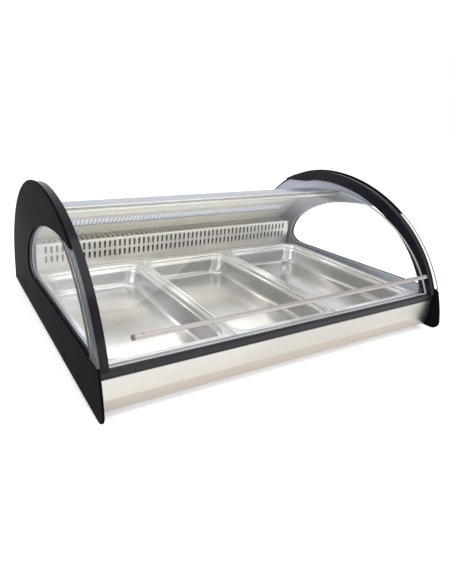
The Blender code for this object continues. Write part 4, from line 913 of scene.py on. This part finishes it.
# ---------------------------------------------------------------- stage, light and camera
def build_stage():
    """A pale floor, and a sky that is white to the camera and lights warm from the front, cool behind."""
    bm = bmesh.new()
    bmesh.ops.create_grid(bm, x_segments=8, y_segments=8, size=14.0)
    mesh = bpy.data.meshes.new("floor")
    bm.to_mesh(mesh)
    bm.free()
    mesh.materials.append(MATS["floor"])
    floor = bpy.data.objects.new("floor", mesh)
    bpy.context.scene.collection.objects.link(floor)

    world = bpy.data.worlds.new("studio")
    bpy.context.scene.world = world
    world.use_nodes = True
    tree = world.node_tree
    sky = tree.nodes["Background"]
    direction = node(tree, "ShaderNodeTexCoord").outputs["Generated"]
    parts = node(tree, "ShaderNodeSeparateXYZ", {0: direction})
    height = span(tree, parts.outputs[2], 0.0, 1.0, -0.05, 0.85)
    behind = span(tree, parts.outputs[1], 0.0, 1.0, -0.9, 0.5)
    low = blend_colours(tree, behind, (0.98, 0.95, 0.90, 1), (0.84, 0.87, 0.93, 1))
    tint = blend_colours(tree, height, low, (0.95, 0.96, 0.98, 1))
    camera_ray = node(tree, "ShaderNodeLightPath").outputs["Is Camera Ray"]
    shown = blend_colours(tree, camera_ray, tint, (1.0, 1.0, 1.0, 1))
    tree.links.new(shown, sky.inputs["Color"])
    sky.inputs["Strength"].default_value = 1.0


def soft_light(name, place, target, size, power, colour, seen=True):
    """An area light aimed at a target; power is watts."""
    data = bpy.data.lights.new(name, "AREA")
    data.shape = "RECTANGLE"
    data.size, data.size_y = size
    data.energy = power
    data.color = colour
    lamp = bpy.data.objects.new(name, data)
    lamp.location = place
    lamp.rotation_euler = (Vector(target) - Vector(place)).to_track_quat("-Z", "Y").to_euler()
    lamp.visible_camera = seen
    bpy.context.scene.collection.objects.link(lamp)


def build_lights():
    soft_light("overhead", (-0.2, -0.5, 2.3), (0, 0, 0.1), (2.2, 1.6), 26, (1.0, 0.99, 0.97))
    soft_light("from_left", (-2.4, -1.2, 1.2), (0, 0, 0.15), (1.4, 1.4), 10, (0.96, 0.98, 1.0))
    soft_light("case_lamp", (0, 0.150, 0.300), (0, -0.06, 0.06), (0.86, 0.05), 0.22, (0.94, 0.97, 1.0), False)
    soft_light("wall_lamp", (0, 0.100, 0.205), (0, 0.235, 0.235), (0.86, 0.05), 0.25, (1.0, 0.97, 0.90), False)
    soft_light("from_front", (0.9, -2.6, 0.9), (0, 0, 0.15), (1.8, 1.0), 7, (1.0, 0.97, 0.93))


def build_camera():
    """The camera fitted to the photo: turned right, tilted down and rolled a little."""
    yaw, pitch, roll = math.radians(27.909), math.radians(19.703), math.radians(2.599)
    forward = Vector((math.sin(yaw) * math.cos(pitch), math.cos(yaw) * math.cos(pitch), -math.sin(pitch)))
    level = Vector((math.cos(yaw), -math.sin(yaw), 0))
    upward = level.cross(forward)
    right = math.cos(roll) * level + math.sin(roll) * upward
    up = -math.sin(roll) * level + math.cos(roll) * upward
    turn = Matrix((right, up, -forward)).transposed().to_4x4()
    data = bpy.data.cameras.new("photo_view")
    data.sensor_width = 36.0
    data.lens = 27.706
    data.shift_x, data.shift_y = 0.11888, -0.04843
    data.clip_start = 0.02
    view = bpy.data.objects.new("photo_view", data)
    view.matrix_world = Matrix.Translation((-0.7588, -1.0696, 0.5949)) @ turn
    bpy.context.scene.collection.objects.link(view)
    bpy.context.scene.camera = view


build_camera()
dress_cad_nodes()
build_ends()
build_front()
build_cover()
build_canopy()
build_screws()
build_pans()
build_front_glass()
build_handle()
build_knob()
build_dial_marks()
build_rockers()
build_lamp_and_gland()
build_feet()
build_stage()
build_lights()
bpy.context.scene.view_settings.view_transform = "Standard"

bpy.context.view_layer.update()
